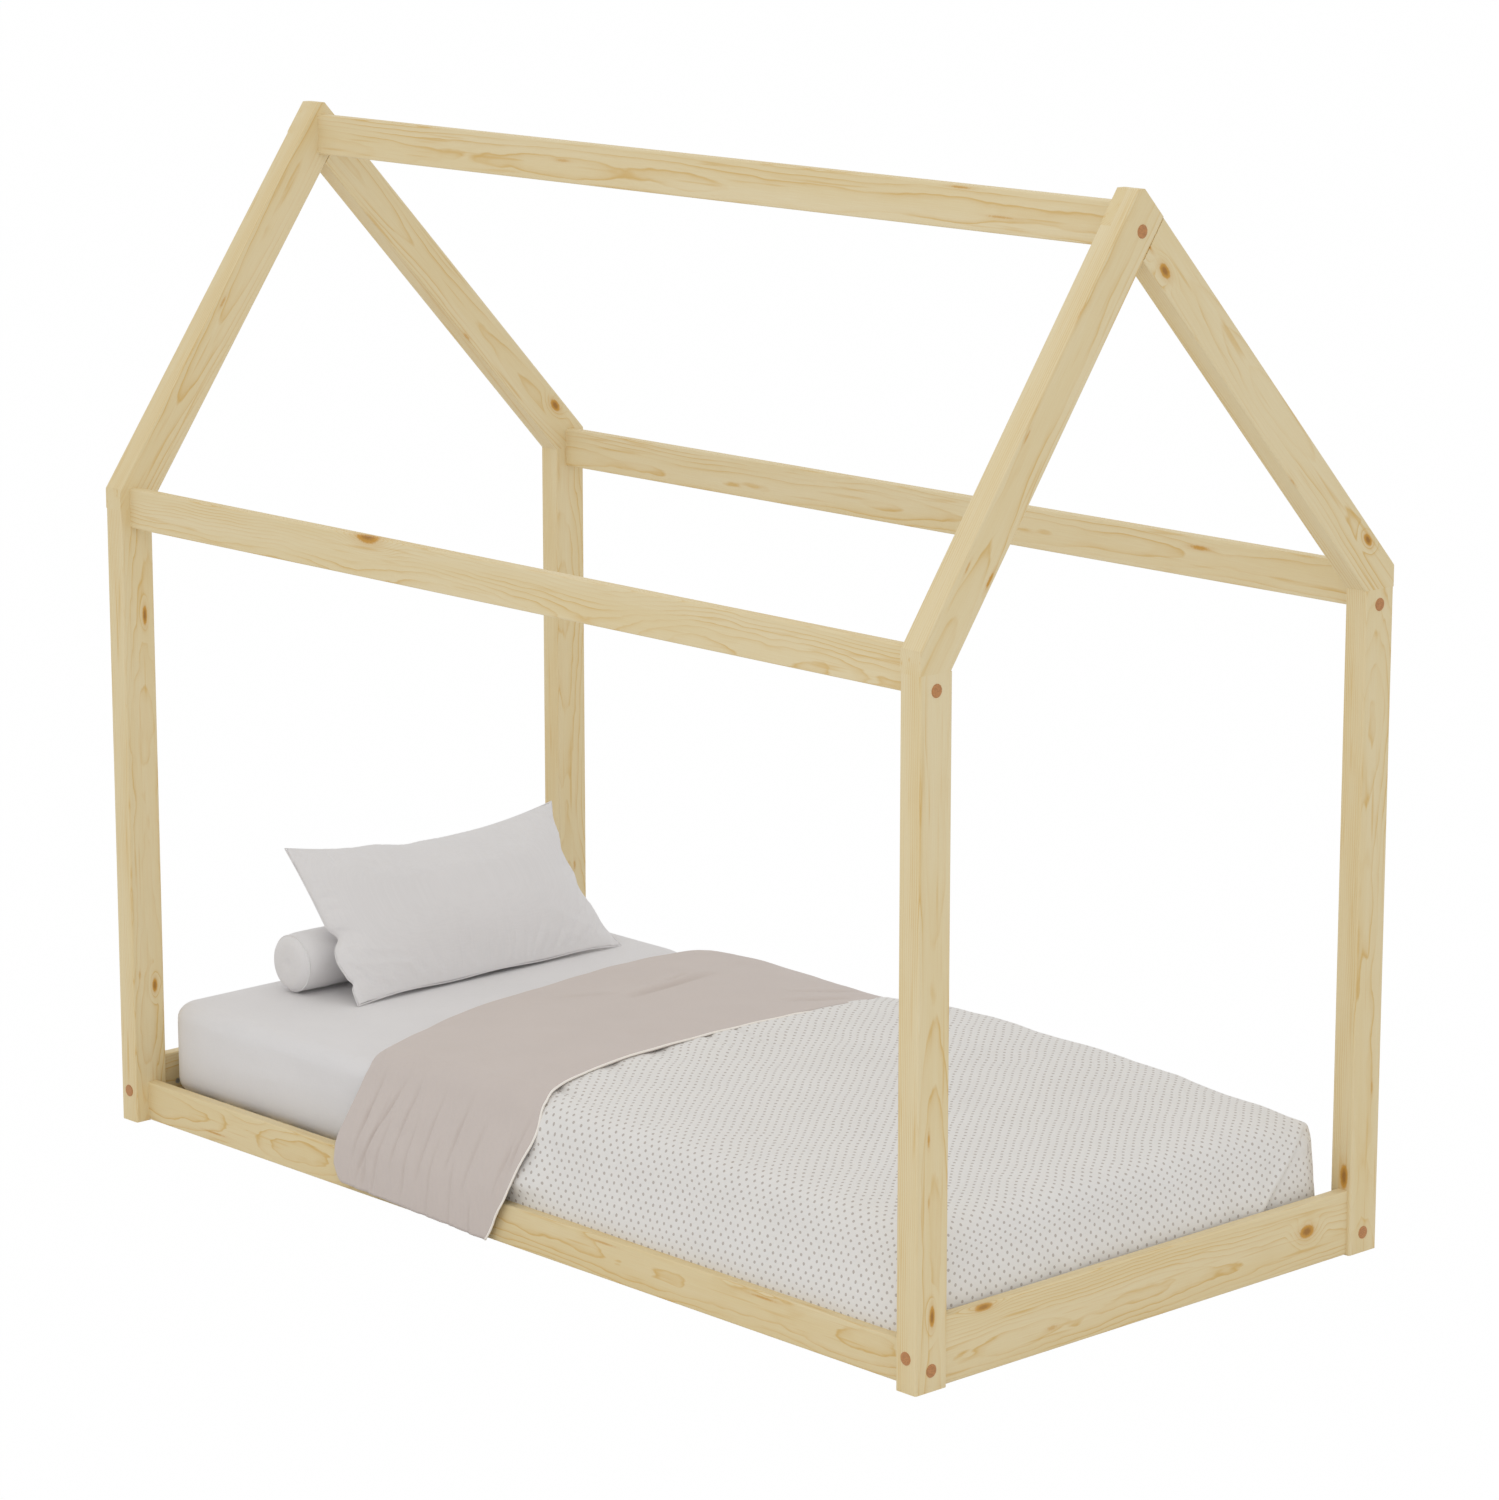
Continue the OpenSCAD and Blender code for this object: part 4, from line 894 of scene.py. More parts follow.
def seam_round(piece, mid, place):
    """Ring of points round a swollen roll in the plane at place along it: the radius by angle is the Fourier
    series of second order that fits its points near the plane."""
    x, y, z = places(piece.data).T
    near = np.abs(y - place) < 4 * MM
    x, z = x[near] - mid[0], z[near] - mid[2]

    def waves(turn):
        return np.stack([np.ones_like(turn), np.cos(turn), np.sin(turn), np.cos(2 * turn),
                         np.sin(2 * turn)], -1)

    fit = np.linalg.lstsq(waves(np.arctan2(z, x)), np.hypot(x, z), rcond=None)[0]
    turn = np.linspace(0, 2 * pi, 120, endpoint=False)
    radius = waves(turn) @ fit
    return np.stack([mid[0] + radius * np.cos(turn), place + 0 * turn, mid[2] + radius * np.sin(turn)], -1)


class BED_OT_bolster(bpy.types.Operator):
    """Makes the bolster: a filled roll with gathered round ends and a piped seam round each"""
    bl_idname = "bed.bolster"
    bl_label = "Bolster"

    def execute(self, context):
        look = context.scene.bed_bedding
        mid = (BOLSTER_LOW + BOLSTER_HIGH) / 2
        r, h = ((BOLSTER_HIGH[k] - BOLSTER_LOW[k]) / 2 - BOLSTER_SKIN for k in (0, 1))
        half = smooth_curve([(0.03 * r, h - 0.10 * r), (0.3 * r, h - 0.01 * r), (0.62 * r, h),
                             (0.86 * r, h - 0.10 * r), (0.97 * r, h - 0.3 * r), (r, h - 0.62 * r),
                             (r, h - 1.6 * r), (r, 0)], 60)
        profile = np.concatenate([half, half[-2::-1] * [1, -1]])
        turn = np.linspace(0, 2 * pi, 72, endpoint=False)[None]
        across = profile[:, :1] * (1 + 0.010 * rumple(profile[:, 1:] * 2.5, turn * 0.05, 0.1, 8))
        rings = np.stack([mid[0] + across * np.cos(turn), mid[1] + profile[:, 1:] + 0 * turn,
                          mid[2] + across * np.sin(turn)], -1)
        cloth = cotton("bolster_cotton", tuple(look.sheet), look, mapped=False, turn=(radians(20), 0, 0))
        roll = make("bolster_roll", *loft(rings), cloth, "bolster", "white_cotton")
        ground = BED_TOP + GAP
        swell_up(roll, 5 * MM, look.swell * 0.6, 3 * MM, floor=ground, slack=0.01)
        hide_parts("bolster")
        seam = cotton("bolster_seam_cotton", tuple(look.sheet), look, mapped=False)
        for name, side in (("bolster_seam_near", -1), ("bolster_seam_far", 1)):
            path = seam_round(roll, mid, mid[1] + side * (h - 0.2 * r))
            path[:, 2] = np.maximum(path[:, 2], ground + 1.5 * MM)
            make(name, *tube(path, 1.8 * MM, 6, True), seam, "bolster", "white_cotton")
        return {"FINISHED"}


def pillow_place(a, b, w):
    """Point of the pillow from a across and b up its face, both -1 to 1, and w off its middle plane. Its
    sides draw in between the corners, most on the far side, its top edge sags in the middle and its far top
    corner dips. Between the corners its lower edge lies a little back and stands slightly off the sheet. Its
    near side is pinched over the bolster and its far side is wavy."""
    across = a * PILLOW_WIDE / 2 - np.where(a > 0, 2.1, 0.5) * 17 * MM * (1 - b * b) * a ** 3
    near, far = np.maximum(-a, 0) ** 8, np.maximum(a, 0) ** 8
    pinch = 16 * bell((b + 0.17) / 0.09) - 8 * bell((b + 0.45) / 0.16) + 7 * bell((b + 0.74) / 0.05)
    across = across + near * MM * pinch
    across = across + far * 3.4 * MM * np.sin(12 * b + 1.2) * (1 - b * b)
    dip = 34 * (1 - a * a) - 4 * bell((a + 0.42) / 0.12) + 3 * bell((a + 0.2) / 0.08)
    up = (b + 1) * PILLOW_HIGH / 2 - np.maximum(b, 0) ** 2 * dip * MM - 12 * MM * (a + 1) * (b + 1) / 4
    under = (1 - a ** 6) * np.maximum(-b, 0) ** 3
    lift = (5.8 + 1.4 * np.sin(9 * a + 1)) * MM * under
    return PILLOW_SEAM + np.stack([w * sin(PILLOW_LEAN) - up * cos(PILLOW_LEAN) - 6 * MM * under, across,
                                   up * sin(PILLOW_LEAN) + w * cos(PILLOW_LEAN) + lift], -1)


def pillow_puckers(a, b):
    """Small gathers along the seams: ripples across the seam that fade into the face, and folds out of the
    corners."""
    rim = 1 - np.maximum(np.abs(a), np.abs(b))
    ripple = np.sin(a * 41 + 2 * np.sin(a * 9)) * bell((1 - np.abs(b)) / 0.10) \
        + np.sin(b * 27 + 2 * np.sin(b * 7)) * bell((1 - np.abs(a)) / 0.06)
    folds = sum(crease(a, b, *shape) for shape in PILLOW_FOLDS)
    return MM * (1.3 * ripple * np.clip(rim * 30, 0, 1) + folds)


def pillow_held(p):
    """How firmly a point of the pillow stays: those near the seam, by their distance off its middle plane."""
    off = (p - PILLOW_SEAM) @ np.array([sin(PILLOW_LEAN), 0, cos(PILLOW_LEAN)])
    return 1 - np.clip((np.abs(off) - 3 * MM) / (9 * MM), 0, 1)


class BED_OT_pillow(bpy.types.Operator):
    """Makes the pillow: filled cotton with pointed corners, gathered seams and a piped edge"""
    bl_idname = "bed.pillow"
    bl_label = "Pillow"

    def execute(self, context):
        look = context.scene.bed_bedding
        a, b = (np.sin(np.linspace(-pi / 2, pi / 2, n)) * 0.35 + np.linspace(-1, 1, n) * 0.65
                for n in (141, 91))
        a, b = np.meshgrid(a, b, indexing="ij")
        wedge = 0.5 + 0.35 * ease(-b / 0.7)
        full = np.sqrt(1 - np.abs(a) ** 2.6) * (1 - np.abs(b) ** np.where(b > 0, 3.4 - 1.4 * b, 1.8)) ** wedge
        puckers = pillow_puckers(a, b) * np.minimum(1, full * 2)
        front = pillow_place(a, b, SEAM_THICK + PILLOW_FRONT * full + puckers)
        back = pillow_place(a, b, -SEAM_THICK - PILLOW_BACK * full)
        cloth = cotton("pillow_cotton", tuple(look.sheet), look, mapped=False, turn=(0, radians(39), 0))
        pillow = make("pillow_cushion", *skin_between(front, back), cloth, "pillow", "white_cotton")
        swell_up(pillow, 4 * MM, look.swell, 4 * MM, pillow_held, BED_TOP + GAP + 0.2 * MM, slack=0.02)
        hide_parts("pillow")
        edge = np.linspace(-1, 1, 160)
        one = np.ones(159)
        rim_a = np.concatenate([edge[:-1], one, -edge[:-1], -one])
        rim_b = np.concatenate([-one, edge[:-1], one, -edge[:-1]])
        path = pillow_place(rim_a, rim_b, 0 * rim_a)
        path[:, 2] = np.maximum(path[:, 2], BED_TOP + GAP + 1.2 * MM)
        make("pillow_piping", *tube(path, 1.1 * MM, 6, True), cloth, "pillow", "white_cotton")
        return {"FINISHED"}


# Duvet: the tucked layer with its dotted face up, and its turned-back end with the reverse up

# Half length and half width of the bed's top that the duvet's shape is drawn over
TOP_X, TOP_Y = 0.9515, 0.4515

# Height of the layer over the mattress, its fall to the foot, what the turned-back end adds, and the height
# where the layer is tucked in
LOFT, FALL, STEP, TUCK_Z = 47 * MM, 21 * MM, 9 * MM, 61 * MM

# Plain outline of the tucked layer, the steps of its corners, long and short sides, its height for the run of
# its profile, and its head edge, which the turned-back end hides
TUCK_X, TUCK_Y, TUCK_CORNER = 964.5 * MM, 471.5 * MM, 68 * MM
LAYER_STEPS = 12, 230, 250
LAYER_HIGH = 190 * MM
LAYER_START = -121 * MM

# The turned-back end: place of its head edge, its width, and how far it hangs out past the rails
BAND_HEAD, BAND_WIDE, BAND_HANG = 520 * MM, 522 * MM, 12 * MM

# The far shoulder: its rise beside the turned-back end, its fall at the foot, and how far the end presses it
# in
FAR_RISE, FAR_FALL, FAR_SINK = 14 * MM, 5 * MM, 20 * MM

# Flat length of the layer's cloth over its drawn length, where it runs down the foot end and the sides
TAUT = 0.86, 0.91

# Where the layer stands off the turned-back end's foot edge: place across the bed and half width in
# millimetres
GAPS = ((-402, 9), (-262, 22), (-150, 24), (-32, 12), (30, 5))


def far_shoulder(x):
    """Shape of the far shoulder along the bed: pressed down by the turned-back end, raised beside it, and
    lower again towards the foot."""
    beside = FAR_SINK - FAR_FALL + (FAR_RISE + FAR_FALL) * ease((TOP_X - x) / 0.5)
    return beside * ease((x + 0.04) / 0.2) - FAR_SINK


def layer_top(x, y):
    """Height of the duvet's single layer: it falls towards the foot and to both sides."""
    waves = 1.5 * MM * np.sin(np.radians(x * 1900 + y * 700))
    return (BED_TOP + LOFT - FALL * np.maximum(0, x) / TOP_X - 5 * MM * (y / TOP_Y) ** 2
            + far_shoulder(x) * (np.maximum(0, y) / TOP_Y) ** 3 + waves)


def foot_edge(y, d):
    """Place along the bed of the turned-back end's foot edge, in millimetres, from the place across and the
    depth d below the mattress's top, 0 to 1: it swings to the foot towards the near side and back where it
    hangs."""
    a = np.minimum(1, np.abs(y) / TOP_Y)
    swing = np.where(y < 0, 64 * a ** 3, 18 * a ** 2 - 56 * a ** 5)
    return BAND_WIDE / MM - BAND_HEAD / MM + swing - 84 * d ** 1.6


def layer_sides(x, y, share):
    """How far the tucked layer stands out of its plain outline at a share of its height, in metres along and
    across the bed: out to the rails low down, where it is tucked in, and in to the mattress's upper edge."""
    low, high = 1 - ease((share - 0.12) / 0.5), ease((share - 0.2) / 0.52)
    foot = np.maximum(0, x / TUCK_X) ** 12 * (1 - 0.5 * ease((y - 0.33) / 0.1))
    near = np.maximum(0, -y / TUCK_Y) ** 6
    return foot * MM * (6.3 * low - 6 * high), -near * MM * (8.8 * low - 9 * high * ease((x - 0.06) / 0.4))


def layer_rumple(x, y, z):
    """Unevenness of the dotted layer: slow quilting all over, ripples beside the turned-back end, a swell
    that meets its edge, upright pulls where it is tucked in at the foot, and the mitred tuck of the far foot
    corner."""
    slow = 0.9 * MM * rumple(x, y + z, 0.17, 21) + 0.35 * MM * rumple(x, y + z, 0.06, 22)
    past = x - foot_edge(y, np.clip(1 - z / BED_TOP, 0, 1)) * MM
    beside = np.exp(-np.clip(past, 0, 9) / 0.13) * np.clip((past + 0.12) / 0.1, 0, 1)
    beside = beside * (1 - 0.8 * bell(past / 0.025))
    ripple = 2.4 * MM * rumple(x - 0.10 * y, 0.22 * y + 0.3 * z, 0.044, 23, 10)
    ripple = ripple * beside * ease((0.42 - y) / 0.5)
    a = np.minimum(1, np.abs(y) / TOP_Y)
    level = 7.2 + np.where(y < 0, -3.0 * a * a, 2.4 * ease((a - 0.38) / 0.2))
    level = level * (1 - 0.8 * ease((-y - 0.435) / 0.02))
    for place, wide in GAPS:
        level = level - 4 * bell((y - place * MM) / (wide * MM), 4)
    meet = MM * level * bell(np.maximum(past / 0.09, -past / 0.02))
    swell = 16 * MM * ease((z - 0.082) / 0.03) * ease((0.185 - z) / 0.08) * ease((-y - 0.44) / 0.02)
    meet = meet + swell * bell(np.maximum(past / 0.06, -past / 0.015))
    foot = np.clip((x - 0.90) / 0.05, 0, 1) * np.clip((0.22 - z) / 0.12, 0, 1)
    pulls = 1.1 * MM * rumple(y, 0.15 * z, 0.05, 24, 8) * foot
    aside = (y - 0.406) * 0.661 - (z - 0.199) * 0.751
    corner = ease((x - 0.925) / 0.02) * ease((y - 0.24) / 0.06) * ease((0.225 - z) / 0.02)
    mitre = MM * (2.0 * bell((aside + 0.007) / 0.006) - 5 * ease(aside / 0.005)) * corner
    return slow + ripple + meet + pulls + mitre


def layer_profile():
    """Half profile of the layer from its tuck to the bed's middle: how far each ring lies inside the plain
    outline, and its share of the layer's height. The curve is smoothed in millimetres."""
    keys = [(0, 0), (1, 0.5), (5, 0.70), (12, 0.82), (24, 0.92), (50, 0.972), (110, 0.995), (280, 1), (471, 1)]
    return smooth_curve(np.array(keys) * [1, LAYER_HIGH / MM], 138) * [MM, MM / LAYER_HIGH]


def layer_outside(profile):
    """Rings of the layer's outer face from its tuck to the middle, and for each ring its places with the
    corners laid flat."""
    rings, laid = [], []
    for inset, share in profile:
        corner = min(max(16 * MM, TUCK_CORNER - 2 * inset), 0.9 * (TUCK_Y - inset))
        p = outline(TUCK_X - inset, TUCK_Y - inset, corner, *LAYER_STEPS)
        laid.append(unrolled(p, TUCK_X - inset, TUCK_Y - inset, corner))
        out_x, out_y = layer_sides(p[:, 0], p[:, 1], share)
        rings.append(np.column_stack([p[:, 0] + out_x, p[:, 1] + out_y,
                                      TUCK_Z + share * (layer_top(p[:, 0], p[:, 1]) - TUCK_Z)]))
    rings = np.stack(rings)
    x, y, z = np.moveaxis(rings, -1, 0)
    soft = np.clip((z - TUCK_Z) / (25 * MM), 0, 1)
    return rings + normals(rings, True) * (layer_rumple(x, y, z) * soft)[..., None], np.array(laid)


def layer_inside():
    """Rings of the layer's inner face: out over the mattress's top and its round edge, and down to the
    tuck."""
    r = MATTRESS_EDGE
    turn = np.linspace(0, pi / 2, 6)
    under = [(2.5 * r, 0), (1.5 * r, 0)] + [((1 - cos(t)) * r, (1 - sin(t)) * r) for t in turn[::-1]]
    rings = []
    for inset, drop in under + [(0, BED_TOP + GAP - TUCK_Z)]:
        corner = max(20 * MM, MATTRESS_CORNER + GAP - 0.8 * inset)
        p = outline(BED_HALF[0] + GAP - inset, BED_HALF[1] + GAP - inset, corner, *LAYER_STEPS)
        rings.append(np.column_stack([p, np.full(len(p), BED_TOP + GAP - drop)]))
    return np.stack(rings)


def layer_cloth(points, faces, rings, inner, profile, laid):
    """Flat places of the corners of the layer's faces: each point's place seen from above, with the corners
    laid flat low down, and past the edge the extra length that the cloth needs to run down. It runs past the
    end in columns at the foot and head, and past the side in the others."""
    rows, cols = rings.shape[:2]
    run = run_length(profile * [1, LAYER_HIGH])
    extra = (run[-1] - run) - (profile[-1, 0] - profile[:, 0])
    low = ease(extra / (40 * MM))[:, None, None]
    drop = np.concatenate([np.full(inner, extra[0]), extra])[:, None] * np.ones(cols)
    flats = []
    for k in (0, 1):
        part = rings[..., :2].copy()
        part[inner:] += low * (laid[:, k] - part[inner:])
        part[..., k] += np.where(k and part[..., 1] < 0, -1, 1) * drop * TAUT[k]
        flats.append(np.concatenate([part.reshape(-1, 2), points[rows * cols:, :2]]))
    arc, _, ny = LAYER_STEPS
    steps = np.arange(cols)
    end = (steps < arc // 2) | (steps >= cols - ny - arc // 2)
    cloth = []
    for f in faces:
        at_end = end[np.where(f[:, 0] < rows * cols, f[:, 0] % cols, 0)]
        cloth.append(np.where(at_end[:, None, None], flats[0][f], flats[1][f]))
    return cloth


def cut_head(piece, place):
    """Cuts off what lies on the head side of a place along the bed, and closes the cut."""
    work = bmesh.new()
    work.from_mesh(piece.data)
    cut = bmesh.ops.bisect_plane(work, geom=work.verts[:] + work.edges[:] + work.faces[:],
                                 plane_co=(place, 0, 0), plane_no=(-1, 0, 0), clear_outer=True)
    rim = [e for e in cut["geom_cut"] if isinstance(e, bmesh.types.BMEdge)]
    bmesh.ops.holes_fill(work, edges=rim, sides=0)
    bmesh.ops.recalc_face_normals(work, faces=work.faces[:])
    work.to_mesh(piece.data)
    work.free()
    piece.data.shade_smooth()


class BED_OT_duvet(bpy.types.Operator):
    """Makes the duvet's tucked layer, with its dotted face up"""
    bl_idname = "bed.duvet"
    bl_label = "Duvet"

    def execute(self, context):
        look = context.scene.bed_bedding
        profile = layer_profile()
        outside, laid = layer_outside(profile)
        inside = layer_inside()
        rings = np.concatenate([inside, outside]) + np.array([BED_MID[0], BED_MID[1], 0])
        points, (walls, fans) = loft(rings)
        last = (len(rings) - 1) * rings.shape[1]
        strip, tips = mirror_strip(*LAYER_STEPS)
        points = points[:-1]
        faces = [np.concatenate([walls, strip + last]), np.concatenate([fans[:rings.shape[1]], tips + last])]
        cloth = layer_cloth(points, faces, rings, len(inside), profile, laid)
        dotted = cotton("dotted_cotton", tuple(look.white), look, dotted=True)
        layer = make("duvet_layer", points, faces, dotted, "duvet", "duvet_cotton", cloth)
        cut_head(layer, LAYER_START)
        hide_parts("duvet")
        return {"FINISHED"}


def band_profiles(edge, lift, sink, hem):
    """Half profiles of the turned-back end from the bed's middle to its hem, as distance and height: over the
    mattress, where it sinks at the edge by sink, out over the rail and down to the hem."""
    top, side = BED_TOP + GAP, RAIL_OUT + GAP + BAND_HANG
    past = edge + 17 * MM
    keys = [
        (0, top + lift),
        (edge * 0.45, top + lift * 0.98 - 0.05 * sink),
        (edge * 0.8, top + lift * 0.92 - 0.5 * sink),
        (edge - 26 * MM, top + lift * 0.84 - sink),
        (edge + 1 * MM, top + lift * 0.84 - sink - 18 * MM),
        (past, top + lift * 0.5 - 0.6 * sink - 40 * MM),
        ((past + side) / 2, (top + lift * 0.5 - 40 * MM + RAIL_TOP + 20 * MM) / 2 + 4 * MM),
        (side, RAIL_TOP + 12 * MM + 0 * lift),
        (side + 1.5 * MM, (RAIL_TOP + 12 * MM + hem) / 2),
        (side + 3 * MM, hem)]
    return np.array([np.stack([away * np.ones_like(lift), height], -1) for away, height in keys])


def band_shift(t, sy, y, z):
    """Place along the bed of a point of the turned-back end, from its head edge at t 0 to its foot edge at t
    1. Towards the near side both edges swing to the foot, towards the far side to the head, and the foot edge
    swings back to the head where it hangs."""
    a = np.minimum(1, y / TOP_Y)
    d = np.clip(1 - z / BED_TOP, 0, 1)
    head = np.where(sy < 0, 125 * a ** 1.6 + 4 * np.sin(7 * d) - 16 * d, 38 * ((1 - a) ** 3 - 1) + 10 * d)
    return -BAND_HEAD + head * MM + t * (BAND_HEAD - head * MM + foot_edge(sy * y, d) * MM)


# Folds of the turned-back end: start, end, width and height in millimetres, where it hangs by the place along
# the bed and the height, and on its top by the place along and across the bed

HANG_FOLDS = (((-262, 235), (-356, 20), 6, 3.2), ((-326, 235), (-360, 60), 6, 2.6),
              ((-300, 190), (-338, 10), 5, 2.0), ((-282, 150), (-312, 0), 5, 1.8),
              ((-230, 245), (-262, 60), 5, 2.4), ((-212, 170), (-232, 10), 5, 1.7),
              ((-165, 240), (-190, 60), 6, 2.2), ((-150, 150), (-168, -10), 5, 1.6),
              ((-92, 250), (-124, 90), 6, 2.4), ((-100, 120), (-112, -10), 5, 1.5),
              ((-52, 190), (-72, 70), 6, 1.8), ((-52, 70), (-56, -10), 5, 1.8),
              ((60, 250), (26, 120), 6, 2.3), ((26, 185), (4, 80), 5, 1.8))
TOP_FOLDS = (((-282, 28), (-318, 267), 17, 3.6), ((-318, 147), (-344, 230), 9, 1.5),
             ((-390, -39), (-318, 48), 14, 1.2), ((-74, 203), (-24, 335), 14, 1.9),
             ((-120, 262), (-66, 410), 11, 1.5))

# Height of a fold whose hollow is shaded in full
DEEP_FOLD = 9


def band_rumple(x, y, z):
    """Folds of the turned-back end: fine upright folds where it hangs, that start at the mattress's edge, and
    soft creases on its top. Gives their height and how far each point lies in a crease, for the painted shade
    in its hollows."""
    hang = np.clip((0.245 - z) / 0.08, 0, 1) * (np.abs(y) > 0.42)
    height = 1.5 * MM * rumple(x + 0.12 * z, 0.10 * z, 0.040, 31, 9) * hang + 0.8 * MM * rumple(x, y, 0.14, 32)
    height = height + 0.5 * MM * rumple(x + 0.15 * z, 0.06 * z, 0.018, 33, 9) * hang
    hollow = 0 * x
    for folds, other, where in ((HANG_FOLDS, z, hang * (y < 0)), (TOP_FOLDS, y, (z > 0.2) * (1 - hang))):
        for start, end, width, high in folds:
            rise, depth = fold(x, other, np.array(start) * MM, np.array(end) * MM, width * MM, high * MM)
            height = height + rise * where
            hollow = np.maximum(hollow, depth * where * min(1, high / DEEP_FOLD))
    return height, hollow


class BED_OT_turned_end(bpy.types.Operator):
    """Makes the duvet's turned-back end, which shows its plain reverse and hangs over both rails"""
    bl_idname = "bed.turned_end"
    bl_label = "Turned-back end"

    def execute(self, context):
        look = context.scene.bed_bedding
        t = np.linspace(0, 1, 196) ** 1.35
        rise = np.minimum(1, np.sqrt(t * 12 + 0.004))
        lift = rise * (LOFT + STEP) * (0.55 + 0.45 * np.sin(pi / 2 * np.minimum(1, t / 0.8)))
        hem = (17 - 13 * t + 30 * np.clip(1 - t / 0.05, 0, 1) ** 2) * MM
        near_edge, far_edge = BED_HALF[1] - BED_MID[1], BED_HALF[1] + BED_MID[1]
        near = smooth_curve(band_profiles(near_edge, lift, 0 * t, hem), 150)
        sink = FAR_SINK * (0.25 + 0.75 * ease((t - 0.2) / 0.65)) + 6 * MM * bell(t / 0.09)
        far = smooth_curve(band_profiles(far_edge, lift, sink, hem), 92)
        profile = np.concatenate([near[:0:-1] * [-1, 1], far]).swapaxes(0, 1)
        y, z = profile[..., 0], profile[..., 1]
        x = band_shift(t[:, None], np.sign(y), np.abs(y), z)
        outside = np.stack([x, y, z], -1)
        away = normals(outside)
        height, hollow = band_rumple(x, y, z)
        fade = np.clip(t / 0.05, 0, 1)[:, None]
        outside = outside + away * (height * fade)[..., None]
        outside[..., 1] = np.clip(outside[..., 1], -520 * MM, 520 * MM)
        outside[..., 2] = np.maximum(outside[..., 2], 3 * MM)

        thick = np.where(t < 0.03, 3 * MM, np.where(t < 0.5, 9 * MM, 5 * MM))[:, None]
        inside = outside - away * thick[..., None]
        over_bed = np.abs(y) < BED_HALF[1] - 30 * MM
        inside[..., 2] = np.where(over_bed, np.maximum(inside[..., 2], BED_TOP + GAP), inside[..., 2])
        by_rail = z < RAIL_TOP + 4 * MM
        off_rail = np.sign(y) * np.maximum(np.abs(inside[..., 1]), RAIL_OUT + GAP)
        inside[..., 1] = np.where(by_rail, off_rail, inside[..., 1])

        points, faces = skin_between(outside, inside)
        run = run_length(outside[len(t) // 2])
        flat = np.stack([x, np.broadcast_to(run[None], x.shape)], -1).reshape(-1, 2)
        flat = np.concatenate([flat, flat])
        # Painted shade: the depth of each crease darkens the reverse on the outer face, and none on the inner
        # face
        hollow = np.concatenate([hollow.reshape(-1), 0 * hollow.reshape(-1)])
        reverse = cotton("greige_cotton", tuple(look.reverse), look, hollow=tuple(look.hollow))
        band = make("duvet_turned_end", points, faces, reverse, "duvet", "duvet_cotton",
                    [flat[f] for f in faces], hollow)
        piping = cotton("piping_cotton", tuple(look.piping), look, mapped=False)
        deep = (0.6 + 3.5 * ease((outside[-1, :, 1:2] - 0.15) / 0.08)) * MM
        path = outside[-1] - away[-1] * deep + [1.6 * MM, 0, 0]
        make("duvet_piping", *tube(path, 2.0 * MM, 8), piping, "duvet", "duvet_cotton")
        return {"FINISHED"}


# Studio: white as the camera sees it, and the share of it that the floor shows, so that its shadow stays

WHITE = (1, 1, 1, 1)
FLOOR_SHARE = 0.992
FLOOR_HALF = 40

# Place of the soft lamp, the place it points at, and its size
LAMP_PLACE, LAMP_TARGET, LAMP_SIZE = (2.0, -3.3, 4.5), (0, 0, 0.4), (4, 3)


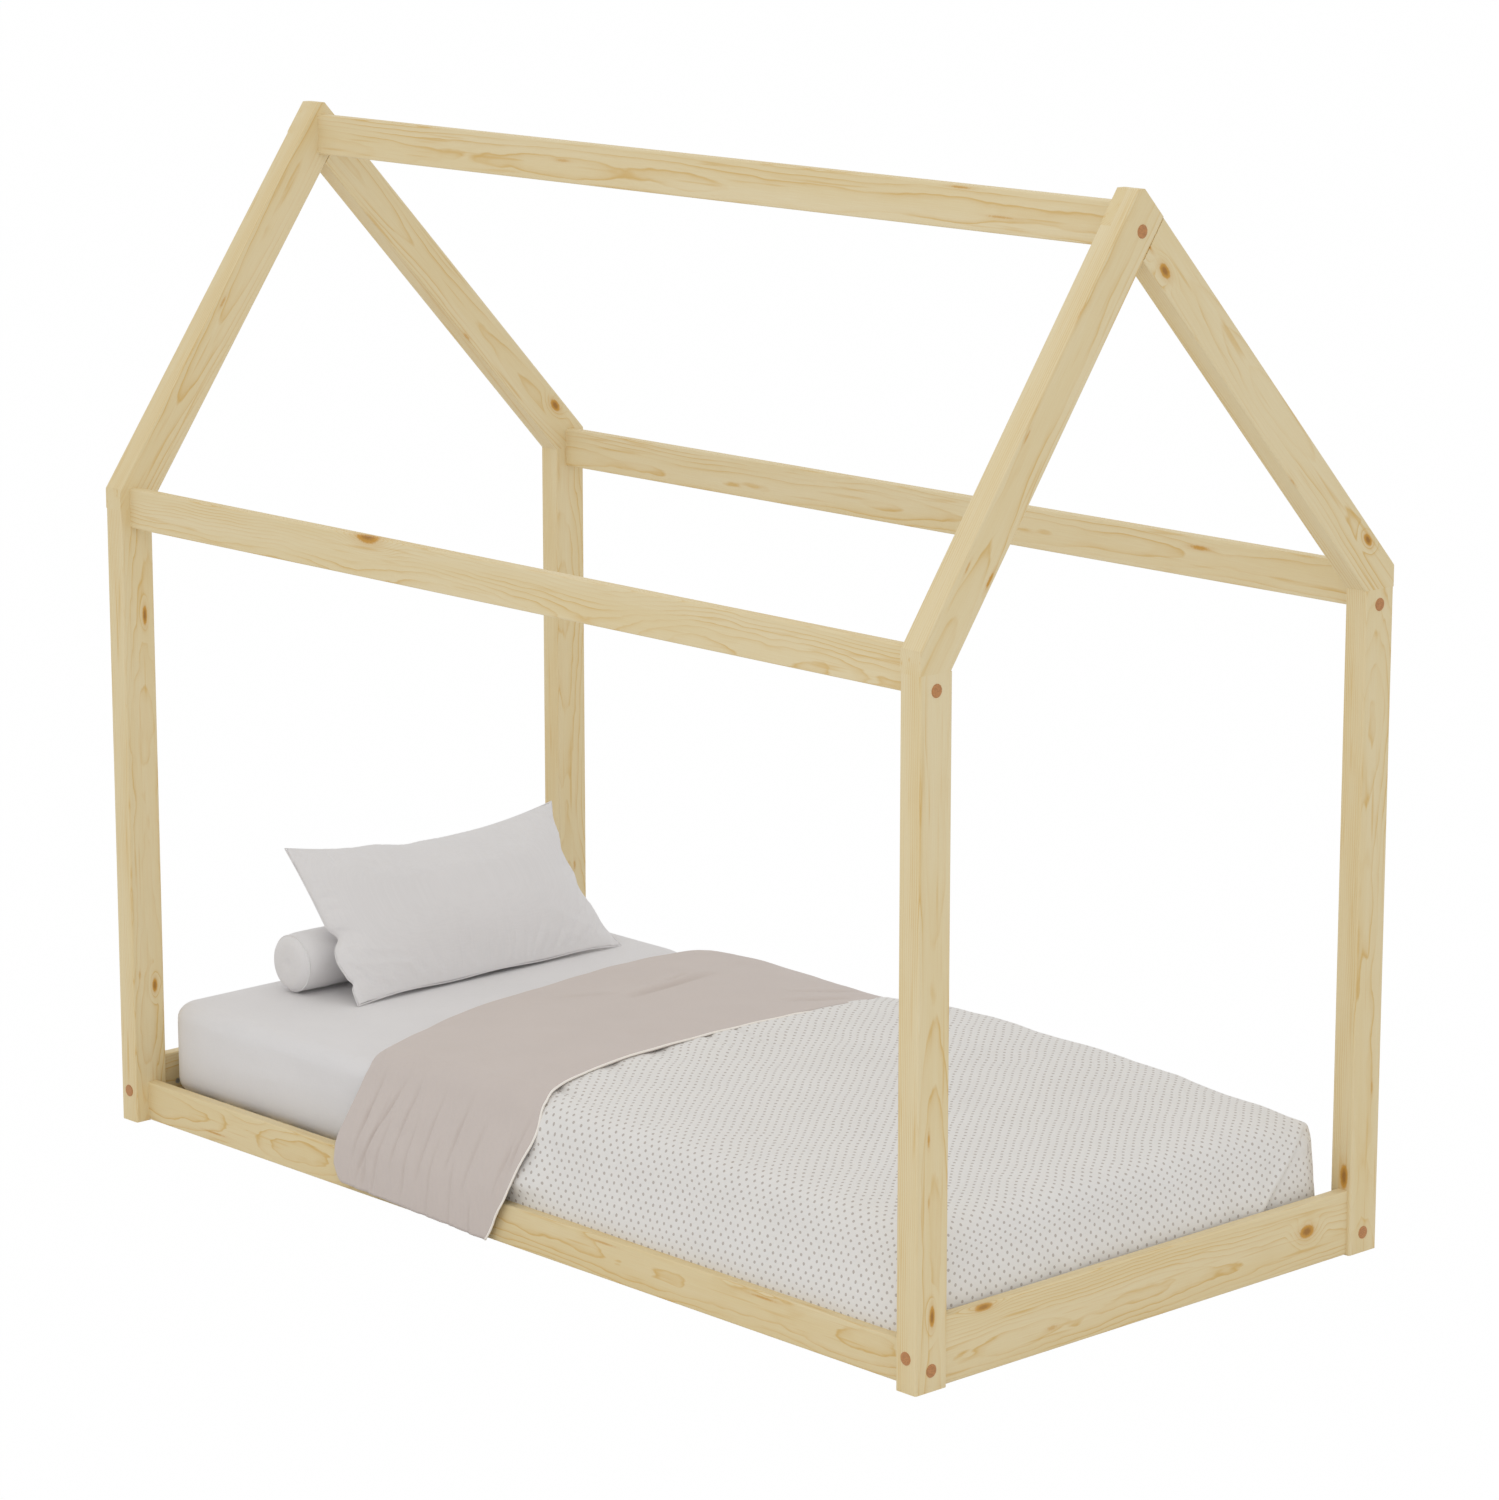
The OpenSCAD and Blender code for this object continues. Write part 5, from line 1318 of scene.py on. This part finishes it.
class BED_OT_studio(bpy.types.Operator):
    """Sets the pale floor, the soft light and the camera"""
    bl_idname = "bed.studio"
    bl_label = "Studio"

    def execute(self, context):
        scene = context.scene
        look = scene.bed_studio
        mesh = bpy.data.meshes.new("floor")
        s = FLOOR_HALF
        mesh.from_pydata([(-s, -s, 0), (s, -s, 0), (s, s, 0), (-s, s, 0)], [], [(0, 1, 2, 3)])
        floor = bpy.data.objects.new("floor", mesh)
        scene.collection.objects.link(floor)
        f = Finish("pale_floor")
        mesh.materials.append(f.finish(Base_Color=(0.92, 0.92, 0.92, 1), Roughness=0.9,
                                       Specular_IOR_Level=0.1))
        f.show(("Is Camera Ray", "Is Glossy Ray", "Is Transmission Ray"),
               f.add("ShaderNodeEmission", {}, {"Color": WHITE, "Strength": 1.0}), FLOOR_SHARE)

        f = Finish("studio", world=True)
        scene.world = f.finish(Color=WHITE, Strength=look.light)
        f.show(("Is Camera Ray", "Is Glossy Ray"),
               f.add("ShaderNodeBackground", {}, {"Color": WHITE, "Strength": 1.0}))

        lamp = bpy.data.lights.new("key", "AREA")
        lamp.energy = look.key
        lamp.shape = "RECTANGLE"
        lamp.size, lamp.size_y = LAMP_SIZE
        key = bpy.data.objects.new("key", lamp)
        key.location = LAMP_PLACE
        key.rotation_euler = (Vector(LAMP_TARGET) - Vector(LAMP_PLACE)).to_track_quat("-Z", "Y").to_euler()
        scene.collection.objects.link(key)

        lens = bpy.data.cameras.new("camera")
        lens.sensor_width = 36
        lens.lens = look.lens
        lens.clip_end = 200
        camera = bpy.data.objects.new("camera", lens)
        camera.location = look.stand
        camera.rotation_euler = (pi / 2 - look.elevation, 0, look.azimuth)
        scene.collection.objects.link(camera)
        scene.camera = camera
        scene.view_settings.view_transform = "Standard"
        return {"FINISHED"}


class BED_PT_panel(bpy.types.Panel):
    """Lists the bed's settings and pieces"""
    bl_label = "House bed"
    bl_idname = "BED_PT_panel"
    bl_space_type = "VIEW_3D"
    bl_region_type = "UI"
    bl_category = "Bed"

    def draw(self, context):
        for group, settings in SETTINGS:
            box = self.layout.box()
            held = getattr(context.scene, group)
            for key in settings.__annotations__:
                box.prop(held, key)
        for step in STEPS:
            self.layout.operator(step.bl_idname)


SETTINGS = (("bed_pine", PineSettings), ("bed_fastening", FasteningSettings), ("bed_bedding", BeddingSettings),
            ("bed_studio", StudioSettings))
STEPS = (BED_OT_pine_frame, BED_OT_pine_base, BED_OT_fastenings, BED_OT_mattress, BED_OT_fitted_sheet,
         BED_OT_bolster, BED_OT_pillow, BED_OT_duvet, BED_OT_turned_end, BED_OT_studio)


def register():
    for group, settings in SETTINGS:
        bpy.utils.register_class(settings)
        setattr(bpy.types.Scene, group, PointerProperty(type=settings))
    for item in (*STEPS, BED_PT_panel):
        bpy.utils.register_class(item)


def unregister():
    for item in (BED_PT_panel, *reversed(STEPS)):
        bpy.utils.unregister_class(item)
    for group, settings in reversed(SETTINGS):
        delattr(bpy.types.Scene, group)
        bpy.utils.unregister_class(settings)


def main():
    register()
    bpy.ops.bed.pine_frame()
    bpy.ops.bed.pine_base()
    bpy.ops.bed.fastenings()
    bpy.ops.bed.mattress()
    bpy.ops.bed.fitted_sheet()
    bpy.ops.bed.bolster()
    bpy.ops.bed.pillow()
    bpy.ops.bed.duvet()
    bpy.ops.bed.turned_end()
    bpy.ops.bed.studio()


if __name__ == "__main__":
    main()
